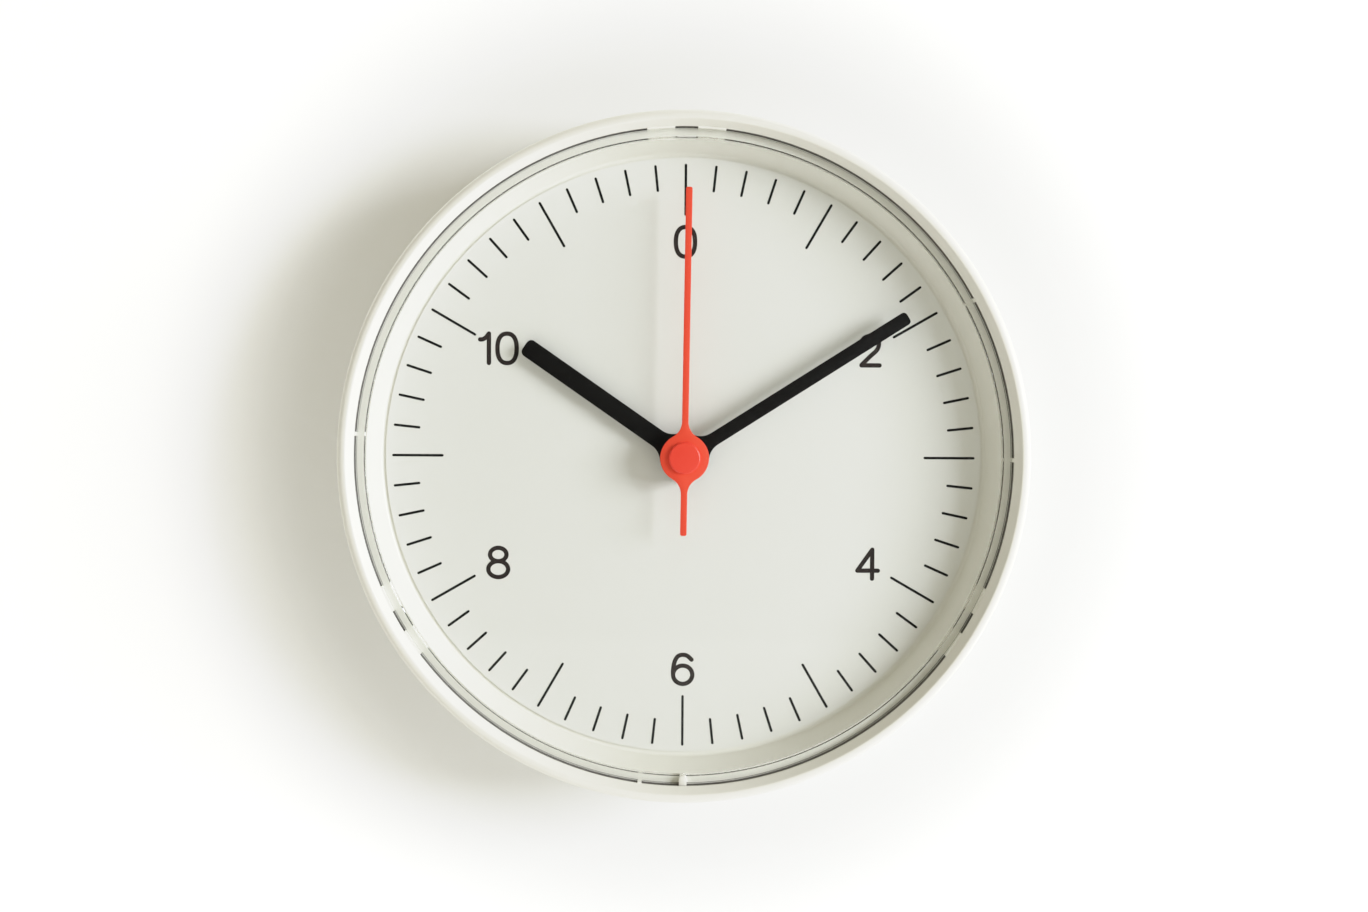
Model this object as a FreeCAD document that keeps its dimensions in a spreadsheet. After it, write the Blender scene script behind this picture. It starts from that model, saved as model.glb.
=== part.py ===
import FreeCAD, Part
import Sketcher
import math
import os
import re

from FreeCAD import Placement, Rotation, Vector

# Round quartz wall clock, in millimetres.
# Every sub-part is drawn as the dial is seen: x to the right, y up, and z the
# distance out from the wall. FACING then stands it up, facing -Y.

FACING = Placement(Vector(0, 0, 0), Rotation(Vector(1, 0, 0), 90))

SIZES = {
    # case
    "case_radius": 132.5,
    "case_depth": 55,
    "side_taper": 1.0,
    "side_wall": 2.4,
    "lip_top": 129.0,
    "lip_foot": 126.45,
    "lip_drop": 3.8,
    "lip_base": 44.8,
    "lens_ledge": 122.4,
    "lens_seat": 47.2,
    "dish_foot": 117.6,
    "dish_wall": 2.2,
    "floor_rear": 32.4,
    "floor_front": 34.4,
    "stem_clear": 4.3,
    "fence_half": 30.6,
    "fence_wall": 1.6,
    "fence_depth": 4,
    "rib_count": 8,
    "rib_width": 1.6,
    "rib_depth": 6,
    "rib_start": 44,
    "rib_end": 118.6,
    # lens
    "lens_radius": 125.7,
    "panel_radius": 122.0,
    "panel_rear": 50.0,
    "panel_front": 51.4,
    "flange_front": 50.4,
    "lug_half_angle": 1.65,
    "lug_reach": 1.6,
    "lug_rear": 47.9,
    "lug_front": 49.5,
    "window_half_angle": 6.85,
    "window_reach": 2.2,
    "window_rear": 47.2,
    "window_front": 50.2,
    "notch_half_width": 1.75,
    "notch_height": 3.4,
    # dial and hands
    "dial_radius": 115.9,
    "dial_front": 35.0,
    "hub_radius": 9.5,
    "hour_plane": 39.0,
    "hour_length": 75.3,
    "hour_width": 7.1,
    "hour_angle": 304.7,
    "minute_plane": 43.0,
    "minute_length": 102.0,
    "minute_width": 5.2,
    "minute_angle": 57.5,
    "hand_sheet": 0.5,
    "hand_fillet": 7.5,
    "second_plane": 46.6,
    "second_length": 103.8,
    "second_tail": 30.0,
    "second_width": 2.5,
    "second_angle": 0.64,
    "second_sheet": 0.4,
    "second_disc": 9.4,
    "second_fillet": 6.6,
    "boss_radius": 6.1,
    "boss_height": 1.6,
    "boss_round": 0.7,
    # fastening of the movement
    "stem_radius": 4.0,
    "stem_top": 38.2,
    "stem_bore": 2.65,
    "washer_radius": 7.5,
    "washer_sheet": 0.4,
    "nut_flats": 11,
    "nut_height": 2,
    "gasket_bore": 8,
    "gasket_radius": 14,
    # movement box
    "box_half": 28,
    "box_corner": 3,
    "box_rear": 15.4,
    "box_front": 31.4,
    "box_wall": 1.5,
    "front_wall": 1.2,
    "cover_sheet": 1.5,
    "bay_top": -10.3,
    "bay_wall": 1.0,
    "clip_half": 3,
    "clip_sheet": 1.2,
    "clip_end": 21,
    # cell
    "cell_radius": 7.25,
    "cell_y": -18.9,
    "cell_z": 22.75,
    "cell_low": -24.65,
    "cell_high": 24.55,
    "cell_nub": 25.85,
    # train
    "train_sheet": 0.8,
    "plate_rear": 25.2,
    "plate_front": 25.9,
    "arbor": 0.6,
    "pivot": 0.35,
    "bearing": 0.43,
    "pivot_rear": 16.3,
    "seconds_arbor": 0.75,
    "minute_outer": 1.75,
    "minute_bore": 0.85,
    "hour_outer": 2.55,
    "hour_bore": 1.85,
    "running_fit": 0.05,
    "fast_module": 0.28,
    "third_module": 0.2912,
    "centre_module": 0.275,
    "motion_module": 0.35,
    # hanger
    "hanger_y": 96,
    "hanger_half": 22,
    "hanger_rise": 11,
    "hanger_rear": 4.4,
    "hanger_front": 6.0,
    "key_head": 4.5,
    "key_slot": 2.5,
    "key_drop": 3.5,
    "key_rise": 5,
    "screw_x": 16,
    "boss_outer": 4,
    "pilot": 1.35,
    "screw_shank": 1.25,
}

# Centre directions on the dial plane, in degrees anticlockwise from 3 o'clock.
INTERMEDIATE_AT = 150
THIRD_AT = 30
ROTOR_FROM_INTERMEDIATE = 115
MOTION_AT = 180
KNOB_FROM_MOTION = 215

# Teeth, (wheel, pinion).
ROTOR_PINION = 8
INTERMEDIATE = (40, 10)
SECONDS = (60, 8)
THIRD = (60, 8)
CENTRE = 64
CANNON = 15
MOTION = (45, 12)
HOUR = 48
KNOB_PINION = 12

doc = FreeCAD.newDocument("WallClock")
sheet = doc.addObject("Spreadsheet::Sheet", "Sizes")
for row, (alias, number) in enumerate(SIZES.items(), start=1):
    sheet.set(f"A{row}", alias)
    sheet.set(f"B{row}", str(number))
    sheet.setAlias(f"B{row}", alias)
doc.recompute()


def linked(text):
    """A size expression with each alias pointed at the sheet."""
    return re.sub(r"\b([a-z][a-z_0-9]*)\b(?!\()", r"Sizes.\1", text)


def size(text):
    """The number that a size expression stands for now."""
    return float(sheet.evalExpression(linked(text)))


def bind(item, prop, text):
    item.setExpression(prop, linked(text))


def stand(item, node):
    """Name a finished sub-part and stand it up, facing -Y."""
    item.Label = node
    item.Placement = FACING
    NODES.append(item)
    return item


NODES = []


# ---------------------------------------------------------------- primitives


def block(name, x, y, z):
    """A box between the low and high expression of each axis."""
    item = doc.addObject("Part::Box", name)
    for side, axis, (low, high) in zip(("Length", "Width", "Height"), "xyz", (x, y, z)):
        bind(item, side, f"({high}) - ({low})")
        bind(item, f"Placement.Base.{axis}", low)
    return item


def rod(name, radius, low, high, x="0", y="0"):
    """A cylinder along z from low to high."""
    item = doc.addObject("Part::Cylinder", name)
    bind(item, "Radius", radius)
    bind(item, "Height", f"({high}) - ({low})")
    bind(item, "Placement.Base.x", x)
    bind(item, "Placement.Base.y", y)
    bind(item, "Placement.Base.z", low)
    return item


def joined(name, *items):
    fused = doc.addObject("Part::MultiFuse", name)
    fused.Shapes = list(items)
    fused.Refine = True
    return fused


def less(name, base, *tools):
    tool = tools[0] if len(tools) == 1 else joined(f"{name}_tools", *tools)
    item = doc.addObject("Part::Cut", name)
    item.Base = base
    item.Tool = tool
    return item


# -------------------------------------------------------------- body helpers


def plane(body, role):
    return next(p for p in body.Origin.OriginFeatures if p.Role == role)


def closed_sketch(body, name, role, points, offset="0"):
    """A sketch of straight lines through points, each a pair of expressions."""
    sketch = body.newObject("Sketcher::SketchObject", name)
    sketch.AttachmentSupport = [(plane(body, role), "")]
    sketch.MapMode = "FlatFace"
    bind(sketch, "AttachmentOffset.Base.z", offset)
    spots = [Vector(size(x), size(y), 0) for x, y in points]
    count = len(spots)
    for i in range(count):
        sketch.addGeometry(Part.LineSegment(spots[i], spots[(i + 1) % count]), False)
    for i in range(count):
        sketch.addConstraint(Sketcher.Constraint("Coincident", i, 2, (i + 1) % count, 1))
    for i, (x, y) in enumerate(points):
        for kind, text, number in (("DistanceX", x, spots[i].x), ("DistanceY", y, spots[i].y)):
            row = sketch.addConstraint(Sketcher.Constraint(kind, -1, 1, i, 1, number))
            bind(sketch, f"Constraints[{row}]", text)
    return sketch


def round_sketch(body, name, radii, offset="0", x="0", y="0"):
    """A sketch of concentric circles on the dial plane."""
    sketch = body.newObject("Sketcher::SketchObject", name)
    sketch.AttachmentSupport = [(plane(body, "XY_Plane"), "")]
    sketch.MapMode = "FlatFace"
    bind(sketch, "AttachmentOffset.Base.z", offset)
    for i, radius in enumerate(radii):
        spot = Vector(size(x), size(y), 0)
        sketch.addGeometry(Part.Circle(spot, Vector(0, 0, 1), size(radius)), False)
        for kind, text in (("DistanceX", x), ("DistanceY", y)):
            row = sketch.addConstraint(Sketcher.Constraint(kind, -1, 1, i, 3, size(text)))
            bind(sketch, f"Constraints[{row}]", text)
        row = sketch.addConstraint(Sketcher.Constraint("Radius", i, size(radius)))
        bind(sketch, f"Constraints[{row}]", radius)
    return sketch


def revolved(name, points):
    """A body turned about z from an outline of (radius, depth) expressions."""
    body = doc.addObject("PartDesign::Body", name)
    sketch = closed_sketch(body, f"{name}_outline", "XZ_Plane", points)
    turn = body.newObject("PartDesign::Revolution", f"{name}_turn")
    turn.Profile = sketch
    turn.ReferenceAxis = (sketch, ["V_Axis"])
    turn.Angle = 360
    doc.recompute()
    return body


def pad(body, sketch, height):
    item = body.newObject("PartDesign::Pad", f"{sketch.Name}_pad")
    item.Profile = sketch
    bind(item, "Length", height)
    doc.recompute()
    return item


def pocket(body, sketch, depth, upward=True):
    """Cut along +z from the sketch, or along -z."""
    item = body.newObject("PartDesign::Pocket", f"{sketch.Name}_cut")
    item.Profile = sketch
    item.Reversed = upward
    bind(item, "Length", depth)
    doc.recompute()
    return item


def rectangle(x, y):
    return [(x[0], y[0]), (x[1], y[0]), (x[1], y[1]), (x[0], y[1])]


def fillet(body, name, radius, wanted):
    """Round the body's edges that wanted(edge) picks."""
    tip = body.Tip
    picked = [f"Edge{i}" for i, edge in enumerate(tip.Shape.Edges, start=1) if wanted(edge)]
    item = body.newObject("PartDesign::Fillet", name)
    item.Base = (tip, picked)
    bind(item, "Radius", radius)
    doc.recompute()
    return item


def ring_edge(radius, depth):
    """Picks the circular edge of this radius at this depth."""

    def wanted(edge):
        curve = edge.Curve
        if not isinstance(curve, Part.Circle):
            return False
        at = edge.valueAt(edge.FirstParameter).z
        return abs(curve.Radius - size(radius)) < 1e-3 and abs(at - size(depth)) < 1e-3

    return wanted


def upright_edge(test):
    """Picks straight edges along z whose foot (x, y) passes test."""

    def wanted(edge):
        if len(edge.Vertexes) != 2:
            return False
        a, b = (v.Point for v in edge.Vertexes)
        upright = abs(a.x - b.x) < 1e-6 and abs(a.y - b.y) < 1e-6 and abs(a.z - b.z) > 1e-3
        return upright and test(a.x, a.y)

    return wanted


# --------------------------------------------------------------- tooth shape


def polar(radius, degrees):
    turn = math.radians(degrees)
    return Vector(radius * math.cos(turn), radius * math.sin(turn), 0)


def gear(teeth, module, phase, low, high, at=Vector(0, 0, 0)):
    """A toothed disc with one tooth centred on the phase angle.

    Wheels get slim pointed teeth and pinions slim leaves with straight sides,
    so that both run free of each other at any angle.
    """
    pitch_angle = 360 / teeth
    pitch_radius = module * teeth / 2
    leaf = teeth < 20
    root = pitch_radius - 1.35 * module
    tip = pitch_radius + (0.55 if leaf else 0.85) * module
    root_share, pitch_share, tip_share = (0.15, 0.19, 0.09) if leaf else (0.27, 0.20, 0.06)
    corners = []
    for number in range(teeth):
        middle = phase + number * pitch_angle
        sides = ((root, root_share), (pitch_radius, pitch_share), (tip, tip_share))
        corners += [polar(radius, middle - share * pitch_angle) for radius, share in sides]
        corners += [polar(radius, middle + share * pitch_angle) for radius, share in sides[::-1]]
    outline = Part.makePolygon(corners + corners[:1])
    disc = Part.Face(outline).extrude(Vector(0, 0, high - low))
    disc.translate(at + Vector(0, 0, low))
    return disc


def meshing_phase(direction, teeth, phase, other_teeth):
    """The phase of a gear lying in this direction from one of known phase."""
    step, other_step = 360 / teeth, 360 / other_teeth
    return direction + 180 + other_step * (0.5 - (phase - direction) / step)


def disc(radius, low, high, at=Vector(0, 0, 0)):
    return Part.makeCylinder(radius, high - low, at + Vector(0, 0, low))


def turned_piece(node, solids, bores=()):
    """A moulded or turned piece of the train, made of fused solids."""
    shape = solids[0].fuse(solids[1:]).removeSplitter() if len(solids) > 1 else solids[0]
    for bore in bores:
        shape = shape.cut(bore)
    item = doc.addObject("Part::Feature", node)
    item.Shape = shape
    return stand(item, node)


# ---------------------------------------------------------------------- case


def make_case():
    """Dish, front lip and side in one moulding."""
    inner = "case_radius - side_wall"
    body = revolved(
        "case_body",
        [
            ("stem_clear", "floor_rear"),
            ("dish_foot + 1.6", "floor_rear"),
            ("lens_ledge + dish_wall", "lip_base"),
            (inner, "lip_base"),
            (inner, "0"),
            ("case_radius - side_taper", "0"),
            ("case_radius", "lip_base"),
            ("case_radius", "case_depth"),
            ("lip_top", "case_depth"),
            ("lip_foot", "case_depth - lip_drop"),
            ("lip_foot", "lens_seat"),
            ("lens_ledge", "lens_seat"),
            ("dish_foot", "floor_front"),
            ("stem_clear", "floor_front"),
        ],
    )
    fillet(body, "lip_round", "2.4", ring_edge("case_radius", "case_depth"))
    fillet(body, "lip_edge", "0.9", ring_edge("lip_top", "case_depth"))
    fillet(body, "rear_round", "0.8", ring_edge("case_radius - side_taper", "0"))
    fillet(body, "ledge_round", "0.7", ring_edge("lens_ledge", "lens_seat"))
    fillet(body, "foot_round", "1.3", ring_edge("dish_foot", "floor_front"))

    outer = "(fence_half + fence_wall)"
    fence = closed_sketch(
        body,
        "fence",
        "XY_Plane",
        rectangle((f"-{outer}", outer), (f"-{outer}", outer)),
        "floor_rear - fence_depth",
    )
    pad(body, fence, "fence_depth + 0.5")
    well = closed_sketch(
        body,
        "well",
        "XY_Plane",
        rectangle(("-fence_half", "fence_half"), ("-fence_half", "fence_half")),
        "floor_rear - fence_depth",
    )
    pocket(body, well, "fence_depth")
    pocket(
        body,
        round_sketch(body, "stem_hole", ["stem_clear"], "floor_rear - 0.1", "0", "0"),
        "floor_front - floor_rear + 0.2",
    )

    rib = closed_sketch(
        body,
        "rib",
        "XY_Plane",
        rectangle(("rib_start", "rib_end"), ("-rib_width / 2", "rib_width / 2")),
        "floor_rear - rib_depth",
    )
    first = pad(body, rib, "rib_depth + 0.3")
    ribs = body.newObject("PartDesign::PolarPattern", "ribs")
    ribs.Originals = [first]
    ribs.Axis = (rib, ["N_Axis"])
    ribs.Angle = 360
    bind(ribs, "Occurrences", "rib_count")
    body.Tip = ribs
    doc.recompute()

    for side, sign in (("left", "-"), ("right", "")):
        x = f"{sign}screw_x"
        pad(
            body,
            round_sketch(body, f"boss_{side}", ["boss_outer"], "hanger_front", x, "hanger_y"),
            "floor_rear - hanger_front + 0.3",
        )
        pocket(
            body,
            round_sketch(body, f"pilot_{side}", ["pilot"], "hanger_front", x, "hanger_y"),
            "14",
        )

    windows = []
    for place, centre in (("top", 90), ("right", -30), ("left", 210)):
        window = ring_sector(
            f"window_{place}",
            ("lip_foot - 0.5", "lip_foot + window_reach"),
            centre,
            "window_half_angle",
            ("window_rear", "window_front"),
        )
        windows.append(window)
    key = rod("locating_key", "notch_half_width - 0.25", "lens_seat", "flange_front - 0.6")
    bind(key, "Placement.Base.y", "-(lens_radius - notch_height + notch_half_width)")
    key_root = block(
        "key_root",
        ("-notch_half_width + 0.25", "notch_half_width - 0.25"),
        ("-(lip_foot + 0.5)", "-(lens_radius - notch_height + notch_half_width)"),
        ("lens_seat", "flange_front - 0.6"),
    )
    key_foot = rod("key_foot", "notch_half_width - 0.25", "lip_base", "lens_seat + 0.1")
    bind(key_foot, "Placement.Base.y", "-(lens_radius - notch_height + notch_half_width)")
    keyed = joined("case_keyed", body, key, key_root, key_foot)
    stand(less("case_finished", keyed, *windows), "case")


def ring_sector(name, radii, centre, half_angle, depths):
    """Part of a ring about z, of a given half angle."""
    item = doc.addObject("Part::Feature", name)
    low, high = size(depths[0]), size(depths[1])
    sweep = 2 * size(half_angle)
    outer = Part.makeCylinder(size(radii[1]), high - low, Vector(0, 0, low), Vector(0, 0, 1), sweep)
    inner = Part.makeCylinder(size(radii[0]), high - low, Vector(0, 0, low), Vector(0, 0, 1))
    shape = outer.cut(inner)
    shape.rotate(Vector(0, 0, 0), Vector(0, 0, 1), centre - size(half_angle))
    item.Shape = shape
    return item


def make_lens():
    """Clear front: flat panel, seat flange, snap lugs and notch."""
    body = revolved(
        "lens_body",
        [
            ("0", "panel_rear"),
            ("panel_radius - 0.4", "panel_rear"),
            ("panel_radius + 0.8", "lens_seat"),
            ("lens_radius", "lens_seat"),
            ("lens_radius", "flange_front"),
            ("panel_radius + 0.6", "flange_front"),
            ("panel_radius", "panel_front"),
            ("0", "panel_front"),
        ],
    )
    fillet(body, "flange_round", "0.35", ring_edge("lens_radius", "flange_front"))
    lugs = [
        ring_sector(
            f"lug_{place}",
            ("lens_radius - 1", "lens_radius + lug_reach"),
            centre,
            "lug_half_angle",
            ("lug_rear", "lug_front"),
        )
        for place, centre in (("top", 90), ("right", -30), ("left", 210))
    ]
    arch_y = "-(lens_radius - notch_height + notch_half_width)"
    arch = rod("notch_arch", "notch_half_width", "lens_seat - 1", "panel_front + 1")
    bind(arch, "Placement.Base.y", arch_y)
    slot = block(
        "notch_slot",
        ("-notch_half_width", "notch_half_width"),
        ("-(lens_radius + 2)", arch_y),
        ("lens_seat - 1", "panel_front + 1"),
    )
    stand(less("lens_notched", joined("lens_lugged", body, *lugs), arch, slot), "lens")


def make_dial():
    body = revolved(
        "dial",
        [
            ("stem_clear", "floor_front"),
            ("dial_radius", "floor_front"),
            ("dial_radius", "dial_front"),
            ("stem_clear", "dial_front"),
        ],
    )
    stand(body, "dial")


# --------------------------------------------------------------------- hands


def make_hand(node, low, sheet_name, width, length, tail, hub, round_by, bore, collet, angle):
    """A flat hand with a hub disc, drawn pointing up and then turned.

    The arm meets its hub in concave curves, and its ends are softly rounded.
    """
    body = doc.addObject("PartDesign::Body", node)
    arm = closed_sketch(
        body,
        f"{node}_arm",
        "XY_Plane",
        rectangle((f"-{width} / 2", f"{width} / 2"), (tail, length)),
        low,
    )
    pad(body, arm, sheet_name)
    pad(body, round_sketch(body, f"{node}_hub", [hub], low), sheet_name)
    half = size(f"{width} / 2")
    reach = size(hub)

    def joint(x, y):
        on_hub = abs(math.hypot(x, y) - reach) < 0.05
        return on_hub and abs(abs(x) - half) < 0.05

    fillet(body, f"{node}_flare", round_by, upright_edge(joint))
    fillet(
        body,
        f"{node}_ends",
        f"{width} * 0.3",
        upright_edge(lambda x, y: abs(abs(x) - half) < 1e-3 and abs(y) > reach + 8),
    )
    pad(body, round_sketch(body, f"{node}_collet", [collet], f"{low} - 0.6"), "0.7")
    pocket(body, round_sketch(body, f"{node}_bore", [bore], f"{low} - 1"), "3")
    stand(body, node)
    turn = Rotation(Vector(0, 0, 1), -size(angle))
    body.Placement = Placement(Vector(0, 0, 0), FACING.Rotation * turn)


def make_hands():
    make_hand(
        "hour_hand", "hour_plane", "hand_sheet", "hour_width", "hour_length", "0",
        "hub_radius", "hand_fillet", "hour_outer + 0.02", "3.5", "hour_angle",
    )
    make_hand(
        "minute_hand", "minute_plane", "hand_sheet", "minute_width", "minute_length", "0",
        "hub_radius", "hand_fillet", "minute_outer + 0.02", "2.7", "minute_angle",
    )
    make_hand(
        "second_hand", "second_plane", "second_sheet", "second_width", "second_length",
        "-second_tail", "second_disc", "second_fillet", "seconds_arbor + 0.02", "1.7",
        "second_angle",
    )
    boss = revolved(
        "hand_boss",
        [
            ("0", "second_plane + second_sheet + 0.3"),
            ("seconds_arbor + 0.02", "second_plane + second_sheet + 0.3"),
            ("seconds_arbor + 0.02", "second_plane + second_sheet"),
            ("boss_radius", "second_plane + second_sheet"),
            ("boss_radius", "second_plane + second_sheet + boss_height"),
            ("0", "second_plane + second_sheet + boss_height"),
        ],
    )
    top = "second_plane + second_sheet + boss_height"
    fillet(boss, "boss_edge", "boss_round", ring_edge("boss_radius", top))
    stand(boss, "hand_boss")


# ------------------------------------------------------ movement's fastening


def make_fastening():
    """Stem, rubber washer, fixing washer and nut."""
    flange = "box_front + 0.8"
    stem = revolved(
        "threaded_stem",
        [
            ("stem_bore", "box_front - front_wall"),
            ("stem_radius", "box_front - front_wall"),
            ("stem_radius", "box_front"),
            ("gasket_bore - 1.2", "box_front"),
            ("gasket_bore - 1.2", flange),
            ("stem_radius", flange),
            ("stem_radius", "stem_top - 0.4"),
            ("stem_radius - 0.4", "stem_top"),
            ("stem_bore", "stem_top"),
        ],
    )
    stand(stem, "threaded_stem")
    gasket = revolved(
        "rubber_washer",
        [
            ("gasket_bore", "box_front"),
            ("gasket_radius", "box_front"),
            ("gasket_radius", "floor_rear"),
            ("gasket_bore", "floor_rear"),
        ],
    )
    stand(gasket, "rubber_washer")
    washer = revolved(
        "fixing_washer",
        [
            ("stem_radius + 0.1", "dial_front"),
            ("washer_radius", "dial_front"),
            ("washer_radius", "dial_front + washer_sheet"),
            ("stem_radius + 0.1", "dial_front + washer_sheet"),
        ],
    )
    stand(washer, "fixing_washer")

    nut = doc.addObject("PartDesign::Body", "fixing_nut")
    seat = "dial_front + washer_sheet"
    outer = "nut_flats / 1.7320508"
    corners = [
        (f"{outer} * {round(math.cos(math.radians(60 * i)), 7)}",
         f"{outer} * {round(math.sin(math.radians(60 * i)), 7)}")
        for i in range(6)
    ]
    pad(nut, closed_sketch(nut, "nut_hexagon", "XY_Plane", corners, seat), "nut_height")
    pocket(nut, round_sketch(nut, "nut_bore", ["stem_radius + 0.05"], seat), "nut_height + 1")
    stand(nut, "fixing_nut")


# ------------------------------------------------------------- movement box


def train_places():
    """Axis centres of the train on the dial plane."""
    fast, third, motion = (size(f"{name}_module") for name in ("fast", "third", "motion"))
    intermediate = polar(fast * (SECONDS[0] + INTERMEDIATE[1]) / 2, INTERMEDIATE_AT)
    return {
        "intermediate": intermediate,
        "rotor": intermediate
        + polar(fast * (INTERMEDIATE[0] + ROTOR_PINION) / 2, ROTOR_FROM_INTERMEDIATE),
        "third": polar(third * (THIRD[0] + SECONDS[1]) / 2, THIRD_AT),
        "motion": polar(motion * (CANNON + MOTION[0]) / 2, MOTION_AT),
        "knob": polar(motion * (CANNON + MOTION[0]) / 2, MOTION_AT)
        + polar(motion * (MOTION[0] + KNOB_PINION) / 2, KNOB_FROM_MOTION),
    }


PLATE_POSTS = [(-22.8, 13.2), (19.4, 13.2), (19.4, -8.0), (-22.8, -8.6)]
STATOR_POSTS = [(-19.5, 20.9), (6.5, 20.9)]


def make_front_housing():
    """Tray with the front wall, bay wall, posts and blind bearings."""
    body = doc.addObject("PartDesign::Body", "housing_front_body")
    half = ("-box_half", "box_half")
    rear = "box_rear + cover_sheet"
    pad(
        body,
        closed_sketch(body, "housing_block", "XY_Plane", rectangle(half, half), rear),
        "box_front - box_rear - cover_sheet",
    )
    edge = size("box_half")
    fillet(body, "housing_corners", "box_corner", upright_edge(lambda x, y: abs(abs(x) - edge) < 1e-3))
    inner = "box_half - box_wall"
    lower = rectangle((f"-({inner})", inner), (f"-({inner})", "bay_top - bay_wall"))
    upper = rectangle((f"-({inner})", inner), ("bay_top", inner))
    depth = "box_front - front_wall - box_rear - cover_sheet"
    pocket(body, closed_sketch(body, "cell_bay", "XY_Plane", lower, rear), depth)
    pocket(body, closed_sketch(body, "train_bay", "XY_Plane", upper, rear), depth)
    for side, sign in (("left", -1), ("right", 1)):
        near, far = sorted((sign * 25.2, sign * 26.5))
        gap = rectangle((str(near), str(far)), ("bay_top - bay_wall - 0.1", "bay_top + 0.1"))
        pocket(body, closed_sketch(body, f"strip_gap_{side}", "XY_Plane", gap, rear), depth)
    pocket(
        body,
        round_sketch(body, "stem_seat", ["stem_radius + 0.1"], "box_front - front_wall - 0.1"),
        "front_wall + 1",
    )
    inside = "box_front - front_wall"
    for number, (x, y) in enumerate(PLATE_POSTS):
        spot = (str(x), str(y))
        post = round_sketch(body, f"plate_post_{number}", ["1.3"], "plate_front", *spot)
        pad(body, post, f"{inside} - plate_front + 0.2")
        peg = round_sketch(body, f"plate_peg_{number}", ["0.7"], "plate_rear - 0.3", *spot)
        pad(body, peg, "plate_front - plate_rear + 0.5")
    for number, (x, y) in enumerate(STATOR_POSTS):
        spot = (str(x), str(y))
        post = round_sketch(body, f"stator_post_{number}", ["1.9"], "25.0", *spot)
        pad(body, post, f"{inside} - 25 + 0.2")
        pocket(body, round_sketch(body, f"stator_pilot_{number}", ["1.0"], "25.0", *spot), "4.2")
    for name in ("motion", "knob"):
        at = train_places()[name]
        spot = (str(round(at.x, 5)), str(round(at.y, 5)))
        blind = round_sketch(body, f"blind_{name}", ["arbor + 0.08"], inside, *spot)
        pocket(body, blind, "0.7")
    catches = [
        block(
            f"catch_{side}",
            (f"{sign}box_half - 0.9" if sign else "box_half - 0.2",
             f"{sign}box_half + 0.2" if sign else "box_half + 0.9"),
            ("-clip_half", "clip_half"),
            ("clip_end + 0.2", "clip_end + 1.4"),
        )
        for side, sign in (("left", "-"), ("right", ""))
    ]
    stand(joined("housing_with_catches", body, *catches), "housing_front")


def make_cover():
    """Rear cover: bearings, knob hole, open battery side and two clips."""
    body = doc.addObject("PartDesign::Body", "housing_cover_body")
    half = ("-box_half", "box_half")
    pad(
        body,
        closed_sketch(body, "cover_sheet_outline", "XY_Plane", rectangle(half, half), "box_rear"),
        "cover_sheet",
    )
    edge = size("box_half")
    fillet(body, "cover_corners", "box_corner", upright_edge(lambda x, y: abs(abs(x) - edge) < 1e-3))
    opening = rectangle(("-26.3", "26.4"), ("-26.4", "bay_top - bay_wall - 0.1"))
    pocket(
        body,
        closed_sketch(body, "cell_opening", "XY_Plane", opening, "box_rear - 0.5"),
        "cover_sheet + 1",
    )
    places = train_places()
    for name in ("intermediate", "rotor", "third"):
        spot = (str(round(places[name].x, 5)), str(round(places[name].y, 5)))
        hole = round_sketch(body, f"jewel_{name}", ["bearing"], "pivot_rear - 0.2", *spot)
        pocket(body, hole, "2")
    pocket(body, round_sketch(body, "jewel_seconds", ["seconds_arbor + running_fit"],
                              "pivot_rear - 0.2"), "2")
    spot = (str(round(places["knob"].x, 5)), str(round(places["knob"].y, 5)))
    pocket(body, round_sketch(body, "knob_hole", ["1.28"], "box_rear - 0.5", *spot), "3")
    for number, (x, y) in enumerate(((12.5, 14), (23, 24), (12.5, 24))):
        standoff = round_sketch(body, f"standoff_{number}", ["0.9"],
                                "box_rear + cover_sheet - 0.2", str(x), str(y))
        pad(body, standoff, "0.7")
    clips = []
    for side, low, high in (("left", "-(box_half + 0.1 + clip_sheet)", "-(box_half + 0.1)"),
                            ("right", "box_half + 0.1", "box_half + 0.1 + clip_sheet")):
        clips.append(block(f"clip_{side}", (low, high), ("-clip_half", "clip_half"),
                           ("box_rear", "clip_end + 2.2")))
        near, far = ("-(box_half + 0.2)", "-(box_half - 2)") if side == "left" else (
            "box_half - 2", "box_half + 0.2")
        clips.append(block(f"clip_root_{side}", (near, far), ("-clip_half", "clip_half"),
                           ("box_rear", "box_rear + cover_sheet")))
    clipped = joined("cover_with_clips", body, *clips)
    windows = [
        block(f"clip_window_{side}", span, ("-(clip_half + 0.2)", "clip_half + 0.2"),
              ("clip_end", "clip_end + 1.6"))
        for side, span in (("left", ("-(box_half + 1)", "-(box_half + 0.05)")),
                           ("right", ("box_half + 0.05", "box_half + 1")))
    ]
    stand(less("cover_finished", clipped, *windows), "housing_cover")


def make_plate():
    """Wheel-train plate with the front pivots."""
    body = doc.addObject("PartDesign::Body", "train_plate")
    outline = rectangle(("-24.6", "21.2"), ("bay_top + 0.3", "14.8"))
    pad(body, closed_sketch(body, "plate_outline", "XY_Plane", outline, "plate_rear"),
        "plate_front - plate_rear")
    holes = [("0", "0", "minute_outer + running_fit")]
    for name, at in train_places().items():
        radius = {"motion": "arbor + 0.08", "knob": "1.28"}.get(name, "bearing")
        holes.append((str(round(at.x, 5)), str(round(at.y, 5)), radius))
    holes += [(str(x), str(y), "0.8") for x, y in PLATE_POSTS]
    for number, (x, y, radius) in enumerate(holes):
        hole = round_sketch(body, f"plate_hole_{number}", [radius], "plate_rear - 0.5", x, y)
        pocket(body, hole, "2")
    stand(body, "train_plate")


# ------------------------------------------------------------ electric parts


def lying_rod(radius, start, end):
    """A cylinder between two points."""
    along = end.sub(start)
    return Part.makeCylinder(radius, along.Length, start, along)


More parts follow.
